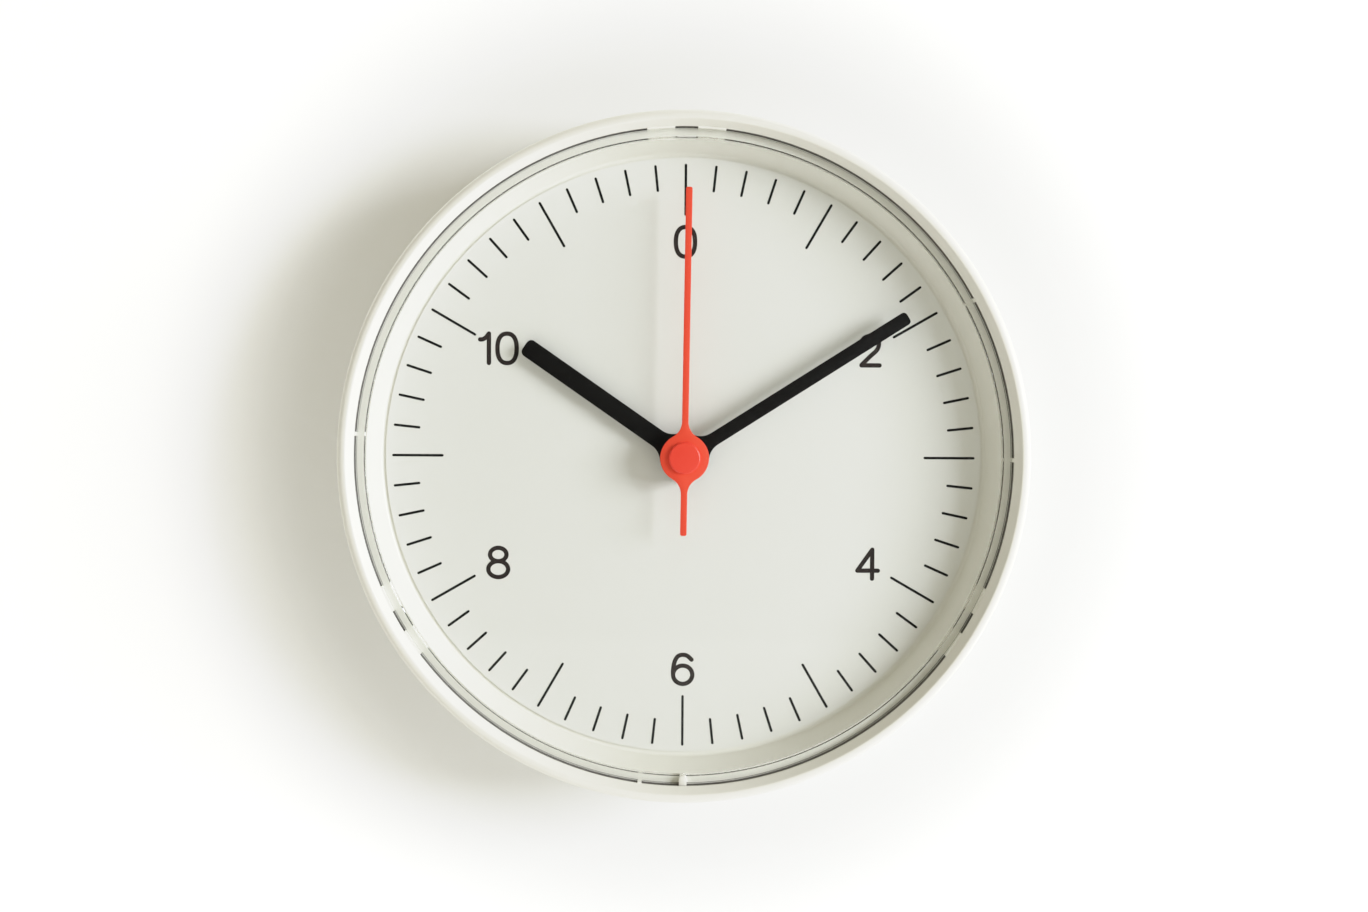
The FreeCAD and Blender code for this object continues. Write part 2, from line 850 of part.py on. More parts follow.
def make_cell():
    y, z = size("cell_y"), size("cell_z")
    body = lying_rod(size("cell_radius"), Vector(size("cell_low"), y, z),
                     Vector(size("cell_high"), y, z))
    ends = [e for e in body.Edges if isinstance(e.Curve, Part.Circle)]
    body = body.makeFillet(0.6, ends)
    nub = lying_rod(2.7, Vector(size("cell_high") - 0.5, y, z), Vector(size("cell_nub"), y, z))
    item = doc.addObject("Part::Feature", "battery_cell")
    item.Shape = body.fuse(nub).removeSplitter()
    stand(item, "battery_cell")


def make_contacts():
    """Bent strips from both ends of the cell to the circuit board."""
    positive = joined(
        "positive",
        block("positive_face", ("25.95", "26.35"), ("-24", "-12.4"), ("18", "27.5")),
        block("positive_run", ("25.95", "26.35"), ("-12.6", "14.5"), ("18.4", "21.4")),
        block("positive_tab", ("22.6", "26.1"), ("13.5", "14.5"), ("18.4", "18.8")),
    )
    stand(positive, "contact_positive")

    bend = [(-26.4, -24), (-26.1, -24), (-24.8, -20), (-24.8, -17.8), (-26.1, -13.6), (-26.1, 25.8),
            (12.6, 25.8), (12.6, 26.1), (-26.4, 26.1), (-26.4, -13.5), (-25.1, -17.7), (-25.1, -20.1)]
    leaf = Part.Face(Part.makePolygon([Vector(x, y, 18.4) for x, y in bend + bend[:1]]))
    tab = Part.makeBox(0.8, 2.2, 0.4, Vector(11.8, 23.9, 18.4))
    item = doc.addObject("Part::Feature", "contact_negative")
    item.Shape = leaf.extrude(Vector(0, 0, 3)).fuse(tab).removeSplitter()
    stand(item, "contact_negative")


def make_board():
    board_rear = "box_rear + cover_sheet + 0.5"
    board = doc.addObject("PartDesign::Body", "circuit_board")
    outline = rectangle(("10.5", "25.2"), ("12", "25.4"))
    pad(board, closed_sketch(board, "board_outline", "XY_Plane", outline, board_rear), "1")
    stand(board, "circuit_board")

    front = size(board_rear) + 1
    chip = disc(2.6, front, front + 1.2, Vector(15.5, 19, 0))
    top = [e for e in chip.Edges if isinstance(e.Curve, Part.Circle) and e.BoundBox.ZMin > front + 1]
    item = doc.addObject("Part::Feature", "chip")
    item.Shape = chip.makeFillet(0.9, top)
    stand(item, "chip")

    can = lying_rod(1.5, Vector(21.8, 15.6, front + 1.5), Vector(21.8, 21.8, front + 1.5))
    rims = [e for e in can.Edges if isinstance(e.Curve, Part.Circle)]
    item = doc.addObject("Part::Feature", "crystal_can")
    item.Shape = can.makeFillet(0.3, rims)
    stand(item, "crystal_can")


def make_coil():
    """Bobbin, winding, core, stator and the two screws."""
    y, z = "20.9", "24.5"
    tube = block("bobbin_tube", ("-16.5", "3.5"), ("18.4", "23.4"), ("23", "26"))
    left = block("bobbin_left", ("-16.5", "-15.7"), ("16.2", "25.6"), ("19.8", "29.2"))
    right = block("bobbin_right", ("2.7", "3.5"), ("16.2", "25.6"), ("19.8", "29.2"))
    hole = block("bobbin_hole", ("-17", "4"), ("19.3", "22.5"), ("23.95", "25.05"))
    stand(less("bobbin", joined("bobbin_solid", tube, left, right), hole), "coil_bobbin")

    start, end = Vector(-15.65, float(y), float(z)), Vector(2.65, float(y), float(z))
    wound = lying_rod(4.3, start, end)
    gap = Part.makeBox(20, 5.1, 3.1, Vector(-17, 18.35, 22.95))
    item = doc.addObject("Part::Feature", "coil_winding")
    item.Shape = wound.cut(gap)
    stand(item, "coil_winding")

    holes = [rod(f"core_hole_{i}", "1.0", "23.5", "25.5", str(x), str(py))
             for i, (x, py) in enumerate(STATOR_POSTS)]
    core = block("core_strip", ("-21.6", "8.6"), ("19.4", "22.4"), ("24", "25"))
    stand(less("core", core, *holes), "coil_core")

    rotor = train_places()["rotor"]
    spot = (str(round(rotor.x, 5)), str(round(rotor.y, 5)))
    yoke = joined(
        "yoke",
        rod("yoke_ring", "4.8", "23", "24", *spot),
        block("yoke_left", ("-21.6", "-17.4"), ("8.6", "22.8"), ("23", "24")),
        block("yoke_left_bar", ("-21.6", "-13"), ("8.6", "13"), ("23", "24")),
        block("yoke_right", ("4.4", "8.6"), ("9.8", "22.8"), ("23", "24")),
        block("yoke_right_bar", ("-9", "8.6"), ("9.8", "13.6"), ("23", "24")),
    )
    bores = [rod("yoke_bore", "3.3", "22.5", "24.5", *spot)]
    bores += [rod(f"yoke_hole_{i}", "1.0", "22.5", "24.5", str(x), str(py))
              for i, (x, py) in enumerate(STATOR_POSTS)]
    stand(less("stator_cut", yoke, *bores), "stator")

    shanks, heads = [], []
    for i, (x, py) in enumerate(STATOR_POSTS):
        shanks.append(rod(f"stator_shank_{i}", "0.9", "22.8", "28.8", str(x), str(py)))
        heads.append(rod(f"stator_head_{i}", "1.8", "21.8", "23", str(x), str(py)))
    slots = [block(f"stator_slot_{i}", (str(x - 2), str(x + 2)), (str(py - 0.2), str(py + 0.2)),
                   ("21.6", "22.2")) for i, (x, py) in enumerate(STATOR_POSTS)]
    stand(less("stator_screws_cut", joined("stator_screws_solid", *shanks, *heads), *slots),
          "stator_screws")


# --------------------------------------------------------------- wheel train


def stack_bore(radius, low, high, at=Vector(0, 0, 0)):
    return disc(size(radius), low - 0.5, high + 0.5, at)


def make_train():
    """Rotor to centre wheel, each in mesh with the next at rest."""
    fast, third, centre = (size(f"{name}_module") for name in ("fast", "third", "centre"))
    places = train_places()
    arbor, pivot = size("arbor"), size("pivot")
    pivot_rear, plate_rear = size("pivot_rear"), size("plate_rear")
    sheet_thick = size("train_sheet")

    seconds_phase = 0.0
    pinion_phase = meshing_phase(INTERMEDIATE_AT, SECONDS[0], seconds_phase, INTERMEDIATE[1])
    wheel_phase = 0.0
    rotor_phase = meshing_phase(ROTOR_FROM_INTERMEDIATE, INTERMEDIATE[0], wheel_phase, ROTOR_PINION)
    third_phase = meshing_phase(THIRD_AT, SECONDS[1], seconds_phase, THIRD[0])
    third_pinion_phase = 0.0
    centre_phase = meshing_phase(THIRD_AT + 180, THIRD[1], third_pinion_phase, CENTRE)

    def arbor_of(at, top):
        """An arbor with a pivot at each end."""
        return [
            disc(pivot, pivot_rear, top, at),
            disc(arbor, pivot_rear + 0.7, plate_rear - 0.1, at),
        ]

    turned_piece("rotor_magnet", [disc(2.8, 22.3, 24.7, places["rotor"])],
                 [disc(arbor + 0.02, 22, 25, places["rotor"])])
    turned_piece(
        "rotor_pinion",
        arbor_of(places["rotor"], plate_rear + 0.6)
        + [gear(ROTOR_PINION, fast, rotor_phase, 19.4, 21.0, places["rotor"]),
           disc(1.5, 21.6, 22.2, places["rotor"])],
    )
    turned_piece(
        "intermediate_wheel",
        arbor_of(places["intermediate"], plate_rear + 0.6)
        + [gear(INTERMEDIATE[1], fast, pinion_phase, 17.6, 19.2, places["intermediate"]),
           gear(INTERMEDIATE[0], fast, wheel_phase, 19.8, 19.8 + sheet_thick,
                places["intermediate"])],
    )
    turned_piece(
        "seconds_wheel",
        [gear(SECONDS[0], fast, seconds_phase, 18.0, 18.0 + sheet_thick),
         disc(1.15, 17.4, 21.4),
         gear(SECONDS[1], third, seconds_phase, 21.0, 22.6)],
        [stack_bore("seconds_arbor + 0.01", 17, 23)],
    )
    top = size("second_plane + second_sheet + 0.25")
    turned_piece("seconds_arbor",
                 [disc(size("seconds_arbor"), pivot_rear, top), disc(1.1, 16.95, 17.35)])
    turned_piece(
        "third_wheel",
        arbor_of(places["third"], plate_rear + 0.6)
        + [gear(THIRD[0], third, third_phase, 21.4, 21.4 + sheet_thick, places["third"]),
           gear(THIRD[1], centre, third_pinion_phase, 23.5, 25.0, places["third"])],
    )
    turned_piece(
        "centre_wheel",
        [gear(CENTRE, centre, centre_phase, 24.0, 24.0 + sheet_thick)],
        [stack_bore("minute_outer + running_fit", 24, 25)],
    )


def make_motion_work():
    """Minute tube, motion-work wheel, hour wheel and setting knob."""
    module = size("motion_module")
    places = train_places()
    arbor = size("arbor")
    inside = size("box_front - front_wall")

    cannon_phase = 0.0
    motion_phase = meshing_phase(MOTION_AT, CANNON, cannon_phase, MOTION[0])
    motion_pinion_phase = 0.0
    hour_phase = meshing_phase(MOTION_AT + 180, MOTION[1], motion_pinion_phase, HOUR)
    knob_phase = meshing_phase(KNOB_FROM_MOTION, MOTION[0], motion_phase, KNOB_PINION)

    turned_piece(
        "minute_tube",
        [disc(size("minute_outer"), 22.9, size("minute_plane + hand_sheet + 0.5")),
         disc(2.6, 22.9, 23.4),
         gear(CANNON, module, cannon_phase, 26.4, 28.0)],
        [stack_bore("minute_bore", 22, 50)],
    )
    turned_piece("friction_washer", [disc(3.2, 23.42, 23.98)],
                 [stack_bore("minute_outer + 0.03", 23, 25)])
    turned_piece(
        "motion_wheel",
        [disc(arbor, size("plate_rear") + 0.1, inside + 0.6, places["motion"]),
         gear(MOTION[0], module, motion_phase, 26.8, 27.6, places["motion"]),
         gear(MOTION[1], module, motion_pinion_phase, 27.6, 29.8, places["motion"])],
    )
    turned_piece(
        "hour_wheel",
        [gear(HOUR, module, hour_phase, 28.7, 28.7 + size("train_sheet")),
         disc(size("hour_outer"), 28.4, size("hour_plane + hand_sheet + 0.4"))],
        [stack_bore("hour_bore", 28, 42)],
    )
    turned_piece(
        "setting_knob",
        [disc(4.5, 12.9, 15.1, places["knob"]),
         disc(1.2, 15.0, 26.4, places["knob"]),
         gear(KNOB_PINION, module, knob_phase, 26.4, 28.0, places["knob"]),
         disc(arbor, 27.9, inside + 0.6, places["knob"])],
        [disc(0.6, 12.5, 13.5, places["knob"] + polar(4.6, 30 * i)) for i in range(12)],
    )


# -------------------------------------------------------------------- hanger


def make_hanger():
    """Steel keyhole plate screwed to two bosses near the top."""
    body = doc.addObject("PartDesign::Body", "hanger_plate")
    low_y, high_y = "hanger_y - hanger_rise", "hanger_y + hanger_rise"
    outline = rectangle(("-hanger_half", "hanger_half"), (low_y, high_y))
    pad(body, closed_sketch(body, "hanger_outline", "XY_Plane", outline, "hanger_rear"),
        "hanger_front - hanger_rear")
    edge = size("hanger_half")
    fillet(body, "hanger_corners", "3", upright_edge(lambda x, y: abs(abs(x) - edge) < 1e-3))
    start = "hanger_rear - 0.5"
    for side, sign in (("left", "-"), ("right", "")):
        hole = round_sketch(body, f"hanger_hole_{side}", ["screw_shank + 0.4"], start,
                            f"{sign}screw_x", "hanger_y")
        pocket(body, hole, "3")
    head = round_sketch(body, "key_head", ["key_head"], start, "0", "hanger_y - key_drop")
    pocket(body, head, "3")
    slot = rectangle(("-key_slot", "key_slot"), ("hanger_y - key_drop", "hanger_y + key_rise"))
    pocket(body, closed_sketch(body, "key_slot", "XY_Plane", slot, start), "3")
    crown = round_sketch(body, "key_crown", ["key_slot"], start, "0", "hanger_y + key_rise")
    pocket(body, crown, "3")
    stand(body, "hanger_plate")

    shanks, heads, slots = [], [], []
    for side, sign in (("left", "-"), ("right", "")):
        x = f"{sign}screw_x"
        shanks.append(rod(f"screw_shank_{side}", "screw_shank", "hanger_rear - 0.1",
                          "hanger_front + 12", x, "hanger_y"))
        heads.append(rod(f"screw_head_{side}", "2.9", "hanger_rear - 1.9", "hanger_rear",
                         x, "hanger_y"))
        for turn, (wide, tall) in enumerate((("1.7", "0.35"), ("0.35", "1.7"))):
            slots.append(block(f"screw_slot_{side}_{turn}",
                               (f"{x} - {wide}", f"{x} + {wide}"),
                               (f"hanger_y - {tall}", f"hanger_y + {tall}"),
                               ("hanger_rear - 2.1", "hanger_rear - 0.9")))
    screws = joined("hanger_screws_solid", *shanks, *heads)
    stand(less("hanger_screws_cut", screws, *slots), "hanger_screws")


def check_and_write():
    doc.recompute()
    for item in doc.Objects:
        faults = [state for state in item.State if state in ("Invalid", "Error")]
        if faults:
            raise RuntimeError(f"{item.Label} is {faults}")
    os.makedirs("parts", exist_ok=True)
    for item in NODES:
        shape = item.Shape
        if shape.isNull() or not shape.isValid() or shape.Volume <= 0:
            raise RuntimeError(f"{item.Label} has a bad shape")
        shape.exportStep(f"parts/{item.Label}.step")


make_case()
make_lens()
make_dial()
make_hands()
make_fastening()
make_front_housing()
make_cover()
make_plate()
make_cell()
make_contacts()
make_board()
make_coil()
make_train()
make_motion_work()
make_hanger()
check_and_write()
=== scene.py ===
"""Round white wall clock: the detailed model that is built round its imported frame."""

import logging
import math
from dataclasses import dataclass, field
from enum import Enum
from typing import Callable, Iterable, Sequence

import bmesh
import bpy
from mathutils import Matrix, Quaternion, Vector


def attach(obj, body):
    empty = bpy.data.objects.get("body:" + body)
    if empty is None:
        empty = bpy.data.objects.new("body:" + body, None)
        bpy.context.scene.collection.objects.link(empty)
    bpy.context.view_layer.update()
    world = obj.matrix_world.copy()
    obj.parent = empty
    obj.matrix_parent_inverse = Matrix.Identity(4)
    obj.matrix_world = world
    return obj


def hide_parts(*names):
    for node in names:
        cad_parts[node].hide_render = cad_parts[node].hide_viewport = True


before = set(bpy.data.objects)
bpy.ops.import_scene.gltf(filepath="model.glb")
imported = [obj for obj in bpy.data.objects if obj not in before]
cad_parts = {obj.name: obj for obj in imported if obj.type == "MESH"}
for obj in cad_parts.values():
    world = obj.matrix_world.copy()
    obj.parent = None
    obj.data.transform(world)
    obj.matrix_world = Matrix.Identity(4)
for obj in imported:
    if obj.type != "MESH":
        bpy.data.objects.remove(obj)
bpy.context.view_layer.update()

LOG = logging.getLogger("wall_clock")
MM = 0.001
Point = tuple[float, float]
Profile = list[Point]
STEP = 0.02  # degrees to each side of a step in a turned shape


class Texture(Enum):
    """How a surface is worked: the scale of its grain to the right, outwards and upwards."""

    EVEN = (1.0, 1.0, 1.0)
    TURNED = (1.0, 9.0, 1.0)
    BRUSHED = (0.15, 1.0, 3.0)
    ROLLED = (0.3, 1.0, 3.0)
    DRAWN = (1.0, 1.0, 6.0)
    LAYERED = (1.0, 1.0, 7.0)


class Dial(Enum):
    """The two lengths of bar round the dial."""

    HOUR = (20.0, 12, 0)
    MINUTE = (10.4, 60, 5)


# ---------------------------------------------------------------- node trees


class Graph:
    """A node tree while it is being wired."""

    def __init__(self, tree: bpy.types.NodeTree) -> None:
        """Keep the tree that nodes are added to.

        Args:
            tree: a shader or geometry node tree.
        """
        self.tree = tree

    def add(self, kind: str, inputs: dict | None = None, **settings: object) -> bpy.types.Node:
        """Add a node.

        Args:
            kind: the node's type name.
            inputs: values or sockets for its inputs, by name or number.
            **settings: the node's own properties.

        Returns:
            The new node.
        """
        node = self.tree.nodes.new(kind)
        for name, value in settings.items():
            setattr(node, name, value)
        for name, value in (inputs or {}).items():
            socket = node.inputs[name]
            if isinstance(value, bpy.types.NodeSocket):
                self.tree.links.new(value, socket)
            else:
                socket.default_value = value
        return node

    def math(self, operation: str, *values: object) -> bpy.types.NodeSocket:
        """Add a Math node.

        Args:
            operation: what it does.
            *values: its operands, numbers or sockets.

        Returns:
            Its output socket.
        """
        return self.add("ShaderNodeMath", dict(enumerate(values)), operation=operation).outputs[0]

    def join(self, source: bpy.types.NodeSocket, target: bpy.types.NodeSocket) -> None:
        """Link two sockets."""
        self.tree.links.new(source, target)


def sockets(tree: bpy.types.NodeTree, way: str, named: dict[str, str]) -> None:
    """Give a group its sockets.

    Args:
        tree: the group.
        way: INPUT or OUTPUT.
        named: socket type by socket name.
    """
    for name, kind in named.items():
        tree.interface.new_socket(name=name, in_out=way, socket_type=kind)


SURFACE_INPUTS = {
    "Colour": "NodeSocketColor",
    "Grain per metre": "NodeSocketFloat",
    "Tone change": "NodeSocketFloat",
    "Roughness": "NodeSocketFloat",
    "Roughness change": "NodeSocketFloat",
    "Stretch": "NodeSocketVector",
}
SURFACE_OUTPUTS = {"Colour": "NodeSocketColor", "Roughness": "NodeSocketFloat", "Height": "NodeSocketFloat"}


def surface_group() -> bpy.types.NodeTree:
    """Shared moulded, brushed or turned surface: tone, gloss and height that vary over it.

    Returns:
        The node group, built on its first use.
    """
    known = bpy.data.node_groups.get("worked_surface")
    if known:
        return known
    tree = bpy.data.node_groups.new("worked_surface", "ShaderNodeTree")
    sockets(tree, "INPUT", SURFACE_INPUTS)
    sockets(tree, "OUTPUT", SURFACE_OUTPUTS)
    g = Graph(tree)
    given = g.add("NodeGroupInput").outputs
    put = g.add("NodeGroupOutput")
    place = g.add("ShaderNodeTexCoord").outputs["Object"]
    laid = g.add("ShaderNodeMapping", {"Vector": place, "Scale": given["Stretch"]}).outputs[0]
    fine = g.add("ShaderNodeTexNoise", {"Vector": laid, "Scale": given["Grain per metre"], "Detail": 3.0})
    broad = g.add("ShaderNodeTexNoise", {"Vector": place, "Scale": 19.0, "Detail": 2.0})
    speck = g.math("SUBTRACT", fine.outputs[0], 0.5)
    cloud = g.math("SUBTRACT", broad.outputs[0], 0.5)
    both = g.math("ADD", g.math("MULTIPLY", speck, 0.8), cloud)
    tone = g.math("ADD", 1.0, g.math("MULTIPLY", both, given["Tone change"]))
    grey = g.add("ShaderNodeCombineColor", {0: tone, 1: tone, 2: tone}).outputs[0]
    mixed = g.add("ShaderNodeMix", {0: 1.0, 6: given["Colour"], 7: grey}, data_type="RGBA", blend_type="MULTIPLY")
    g.join(mixed.outputs[2], put.inputs["Colour"])
    dull = g.math("ADD", given["Roughness"], g.math("MULTIPLY", both, given["Roughness change"]))
    g.join(dull, put.inputs["Roughness"])
    g.join(fine.outputs[0], put.inputs["Height"])
    return tree


def groove_group() -> bpy.types.NodeTree:
    """Shared rings cut or wound round a line through a centre, such as threads and turns of wire.

    Returns:
        The node group, built on its first use.
    """
    known = bpy.data.node_groups.get("ringed_grooves")
    if known:
        return known
    tree = bpy.data.node_groups.new("ringed_grooves", "ShaderNodeTree")
    sockets(tree, "INPUT", {"Along": "NodeSocketVector", "Pitch": "NodeSocketFloat"})
    sockets(tree, "OUTPUT", {"Height": "NodeSocketFloat"})
    g = Graph(tree)
    given = g.add("NodeGroupInput").outputs
    put = g.add("NodeGroupOutput")
    place = g.add("ShaderNodeTexCoord").outputs["Object"]
    dot = g.add("ShaderNodeVectorMath", {0: place, 1: given["Along"]}, operation="DOT_PRODUCT").outputs["Value"]
    turns = g.math("DIVIDE", dot, given["Pitch"])
    g.join(g.math("PINGPONG", turns, 0.5), put.inputs["Height"])
    return tree


def bare_material(name: str) -> tuple[bpy.types.Material, Graph]:
    """Start a material with an empty tree.

    Args:
        name: its name.

    Returns:
        The material, and its tree to be wired.
    """
    made = bpy.data.materials.new(name)
    made.use_nodes = True
    made.node_tree.nodes.clear()
    return made, Graph(made.node_tree)


@dataclass(frozen=True)
class Finish:
    """One surface finish of the clock, with the values of its material."""

    name: str
    colour: tuple[float, float, float]
    roughness: float = 0.5
    metallic: float = 0.0
    texture: Texture = Texture.EVEN
    grain: float = 2200.0
    depth: float = 0.00002
    tone: float = 0.06
    dulling: float = 0.12
    coat: float = 0.0
    along: tuple[float, float, float] = (0.0, 1.0, 0.0)
    pitch: float = 0.0
    specular: float = 0.5

    def material(self) -> bpy.types.Material:
        """The finish as a material.

        Returns:
            The material, made on its first use.
        """
        known = bpy.data.materials.get(self.name)
        if known:
            return known
        made, g = bare_material(self.name)
        values = {
            "Colour": (*self.colour, 1.0),
            "Grain per metre": self.grain,
            "Tone change": self.tone,
            "Roughness": self.roughness,
            "Roughness change": self.dulling,
            "Stretch": self.texture.value,
        }
        worked = g.add("ShaderNodeGroup", values, node_tree=surface_group())
        height = worked.outputs["Height"]
        if self.pitch:
            rings = g.add("ShaderNodeGroup", {"Along": self.along, "Pitch": self.pitch}, node_tree=groove_group())
            height = g.math("ADD", g.math("MULTIPLY", height, 0.15), rings.outputs["Height"])
        bump = g.add("ShaderNodeBump", {"Height": height, "Strength": 0.5, "Distance": self.depth})
        body = g.add(
            "ShaderNodeBsdfPrincipled",
            {
                "Base Color": worked.outputs["Colour"],
                "Roughness": worked.outputs["Roughness"],
                "Metallic": self.metallic,
                "Normal": bump.outputs[0],
                "Specular IOR Level": self.specular,
                "Coat Weight": self.coat,
                "Coat Roughness": 0.2,
            },
        )
        g.add("ShaderNodeOutputMaterial", {"Surface": body.outputs[0]})
        return made


@dataclass(frozen=True)
class ClearFinish:
    """Clear moulded plastic that lets lamp light through to what is behind it."""

    name: str = "clear_plastic"
    roughness: float = 0.025
    ior: float = 1.3

    def material(self) -> bpy.types.Material:
        """The finish as a material.

        Returns:
            The material, made on its first use.
        """
        known = bpy.data.materials.get(self.name)
        if known:
            return known
        made, g = bare_material(self.name)
        values = {
            "Colour": (0.985, 0.99, 0.985, 1.0),
            "Grain per metre": 55.0,
            "Tone change": 0.004,
            "Roughness": self.roughness,
            "Roughness change": 0.02,
            "Stretch": Texture.EVEN.value,
        }
        worked = g.add("ShaderNodeGroup", values, node_tree=surface_group())
        body = g.add(
            "ShaderNodeBsdfPrincipled",
            {
                "Base Color": worked.outputs["Colour"],
                "Roughness": worked.outputs["Roughness"],
                "Transmission Weight": 1.0,
                "IOR": self.ior,
            },
        )
        through = g.add("ShaderNodeBsdfTransparent", {"Color": (0.97, 0.975, 0.97, 1.0)})
        path = g.add("ShaderNodeLightPath").outputs
        lit = g.math("MAXIMUM", path["Is Shadow Ray"], path["Is Diffuse Ray"])
        mix = g.add("ShaderNodeMixShader", {0: lit, 1: body.outputs[0], 2: through.outputs[0]})
        g.add("ShaderNodeOutputMaterial", {"Surface": mix.outputs[0]})
        return made


CASE_WHITE = Finish(
    "case_white_plastic", (0.80, 0.785, 0.725), 0.42, grain=1500.0, depth=0.00001, tone=0.02, dulling=0.08
)
DIAL_WHITE = Finish(
    "dial_matt_print", (0.775, 0.77, 0.742), 0.72, grain=3800.0, depth=0.000006, tone=0.014, dulling=0.05, specular=0.3
)
# Painted shade: dark grey paint for the floor and wall of the gap between the lip and the clear front, in place of the
# shadow that falls in that gap.
GAP_PAINTED_SHADE = Finish(
    "case_gap_painted_shade", (0.15, 0.14, 0.132), 0.6, grain=1500.0, depth=0.00001, tone=0.1, specular=0.2
)
DIAL_INK = Finish(
    "dial_black_ink", (0.005, 0.0045, 0.004), 0.55, grain=5200.0, depth=0.000004, tone=0.3, dulling=0.1, specular=0.25
)
NUMERAL_INK = Finish(
    "numeral_soft_ink", (0.020, 0.013, 0.011), 0.6, grain=5200.0, depth=0.000004, tone=0.25, dulling=0.1, specular=0.25
)
HAND_BLACK = Finish(
    "hand_black_paint", (0.0065, 0.006, 0.0055), 0.5,
    grain=2600.0, depth=0.000006, tone=0.25, dulling=0.16, specular=0.06
)
HAND_RED = Finish(
    "hand_red_paint", (0.90, 0.072, 0.036), 0.46, grain=2600.0, depth=0.000006, tone=0.05, dulling=0.12, specular=0.22
)
BOSS_RED = Finish(
    "boss_red_plastic", (0.94, 0.052, 0.027), 0.38, grain=1700.0, depth=0.000008, tone=0.05, coat=0.15
)
MOVEMENT_BLACK = Finish(
    "movement_black_plastic", (0.022, 0.022, 0.024), 0.5, grain=2400.0, depth=0.00004, tone=0.3, dulling=0.18
)
GEAR_WHITE = Finish("gear_white_plastic", (0.80, 0.79, 0.75), 0.4, grain=1800.0, depth=0.00001, tone=0.04)
GEAR_AMBER = Finish("gear_amber_plastic", (0.70, 0.43, 0.14), 0.36, grain=1800.0, depth=0.00001, tone=0.08)
BRASS_THREAD = Finish(
    "threaded_brass", (0.76, 0.55, 0.24), 0.3, 1.0, grain=900.0, depth=0.0002, tone=0.12, pitch=0.00075
)
BRASS_TURNED = Finish("turned_brass", (0.76, 0.56, 0.25), 0.26, 1.0, Texture.TURNED, 4200.0, 0.00001, 0.12)
RUBBER = Finish(
    "black_rubber", (0.018, 0.018, 0.018), 0.85, grain=1300.0, depth=0.00005, tone=0.3, specular=0.2
)
PLATE_STEEL = Finish(
    "zinc_plated_steel", (0.60, 0.61, 0.63), 0.34, 1.0, Texture.BRUSHED, 800.0, 0.00001, 0.22, 0.2
)
SPRING_STEEL = Finish(
    "nickel_plated_spring", (0.69, 0.67, 0.62), 0.25, 1.0, Texture.ROLLED, 900.0, 0.00001, 0.14
)
MAGNET = Finish("sintered_magnet", (0.06, 0.06, 0.065), 0.55, 0.6, grain=3800.0, depth=0.00004, tone=0.4)
COPPER = Finish(
    "wound_copper_wire", (0.72, 0.30, 0.12), 0.3, 1.0,
    grain=2000.0, depth=0.00012, tone=0.15, along=(1, 0, 0), pitch=0.00022
)
BOBBIN = Finish("blue_bobbin_plastic", (0.05, 0.16, 0.38), 0.42, grain=1900.0, tone=0.08)
BOARD = Finish("phenolic_board", (0.30, 0.16, 0.055), 0.5, 0.0, Texture.LAYERED, 700.0, 0.00002, 0.35)
RESIN = Finish("cast_black_resin", (0.012, 0.012, 0.012), 0.2, grain=900.0, tone=0.2)
CAN = Finish("drawn_can", (0.74, 0.74, 0.73), 0.16, 1.0, Texture.DRAWN, 2600.0, 0.000008, 0.08)
CELL_JACKET = Finish(
    "cell_blue_jacket", (0.045, 0.12, 0.26), 0.24, 0.35, grain=1500.0, depth=0.000006, tone=0.1, coat=0.5
)
CELL_BAND = Finish(
    "cell_pale_band", (0.68, 0.70, 0.72), 0.28, 0.5, grain=1500.0, depth=0.000006, tone=0.08, coat=0.5
)
CLEAR = ClearFinish()


# ---------------------------------------------------------------- mesh making


def stand(x: float, y: float, z: float) -> Vector:
    """A point given as right, up and out from the wall, in mm, as a point in the frame, in metres."""
    return Vector((x * MM, -z * MM, y * MM))


def corner_arc(before: Point, at: Point, after: Point, radius: float, steps: int = 6) -> Profile:
    """Round one corner of a profile.

    Args:
        before: the profile's point before the corner.
        at: the corner.
        after: the point after it.
        radius: the round's radius; 0 keeps the corner.
        steps: how many runs the arc has.

    Returns:
        The points that take the corner's place.
    """
    if radius <= 0:
        return [at]
    a = Vector((before[0] - at[0], before[1] - at[1])).normalized()
    b = Vector((after[0] - at[0], after[1] - at[1])).normalized()
    half = a.angle(b) / 2
    reach = radius / math.tan(half)
    middle = Vector(at) + (a + b).normalized() * (radius / math.sin(half))
    start, end = Vector(at) + a * reach - middle, Vector(at) + b * reach - middle
    turn = math.atan2(start.x * end.y - start.y * end.x, start.dot(end))
    found = []
    for k in range(steps + 1):
        t = turn * k / steps
        found.append(
            (
                middle.x + start.x * math.cos(t) - start.y * math.sin(t),
                middle.y + start.x * math.sin(t) + start.y * math.cos(t),
            )
        )
    return found


def rounded(corners: Sequence[tuple[float, float, float]], closed: bool = True) -> Profile:
    """A profile with its corners rounded.

    Args:
        corners: radius from the axis, distance from the wall and round of each corner, in mm.
        closed: whether the last corner joins the first.

    Returns:
        The profile's points.
    """
    found: Profile = []
    n = len(corners)
    for i, (r, z, by) in enumerate(corners):
        if not closed and i in (0, n - 1):
            found.append((r, z))
            continue
        before, after = corners[i - 1], corners[(i + 1) % n]
        found += corner_arc(before[:2], (r, z), after[:2], by)
    return found


def even_angles(count: int, extra: Iterable[float] = ()) -> list[float]:
    """Angles round the dial, clockwise from 12, in degrees.

    Args:
        count: how many even ones.
        extra: more angles to add.

    Returns:
        All of them in order, with none doubled.
    """
    found = sorted({round(360 * k / count, 4) for k in range(count)} | {round(a % 360, 4) for a in extra})
    return [a for k, a in enumerate(found) if k == 0 or a - found[k - 1] > 0.015]


def linked(name: str, data: bpy.types.ID) -> bpy.types.Object:
    """Add an object to the scene.

    Args:
        name: its name.
        data: its mesh, lamp or camera.

    Returns:
        The object, at the origin.
    """
    made = bpy.data.objects.new(name, data)
    bpy.context.scene.collection.objects.link(made)
    return made


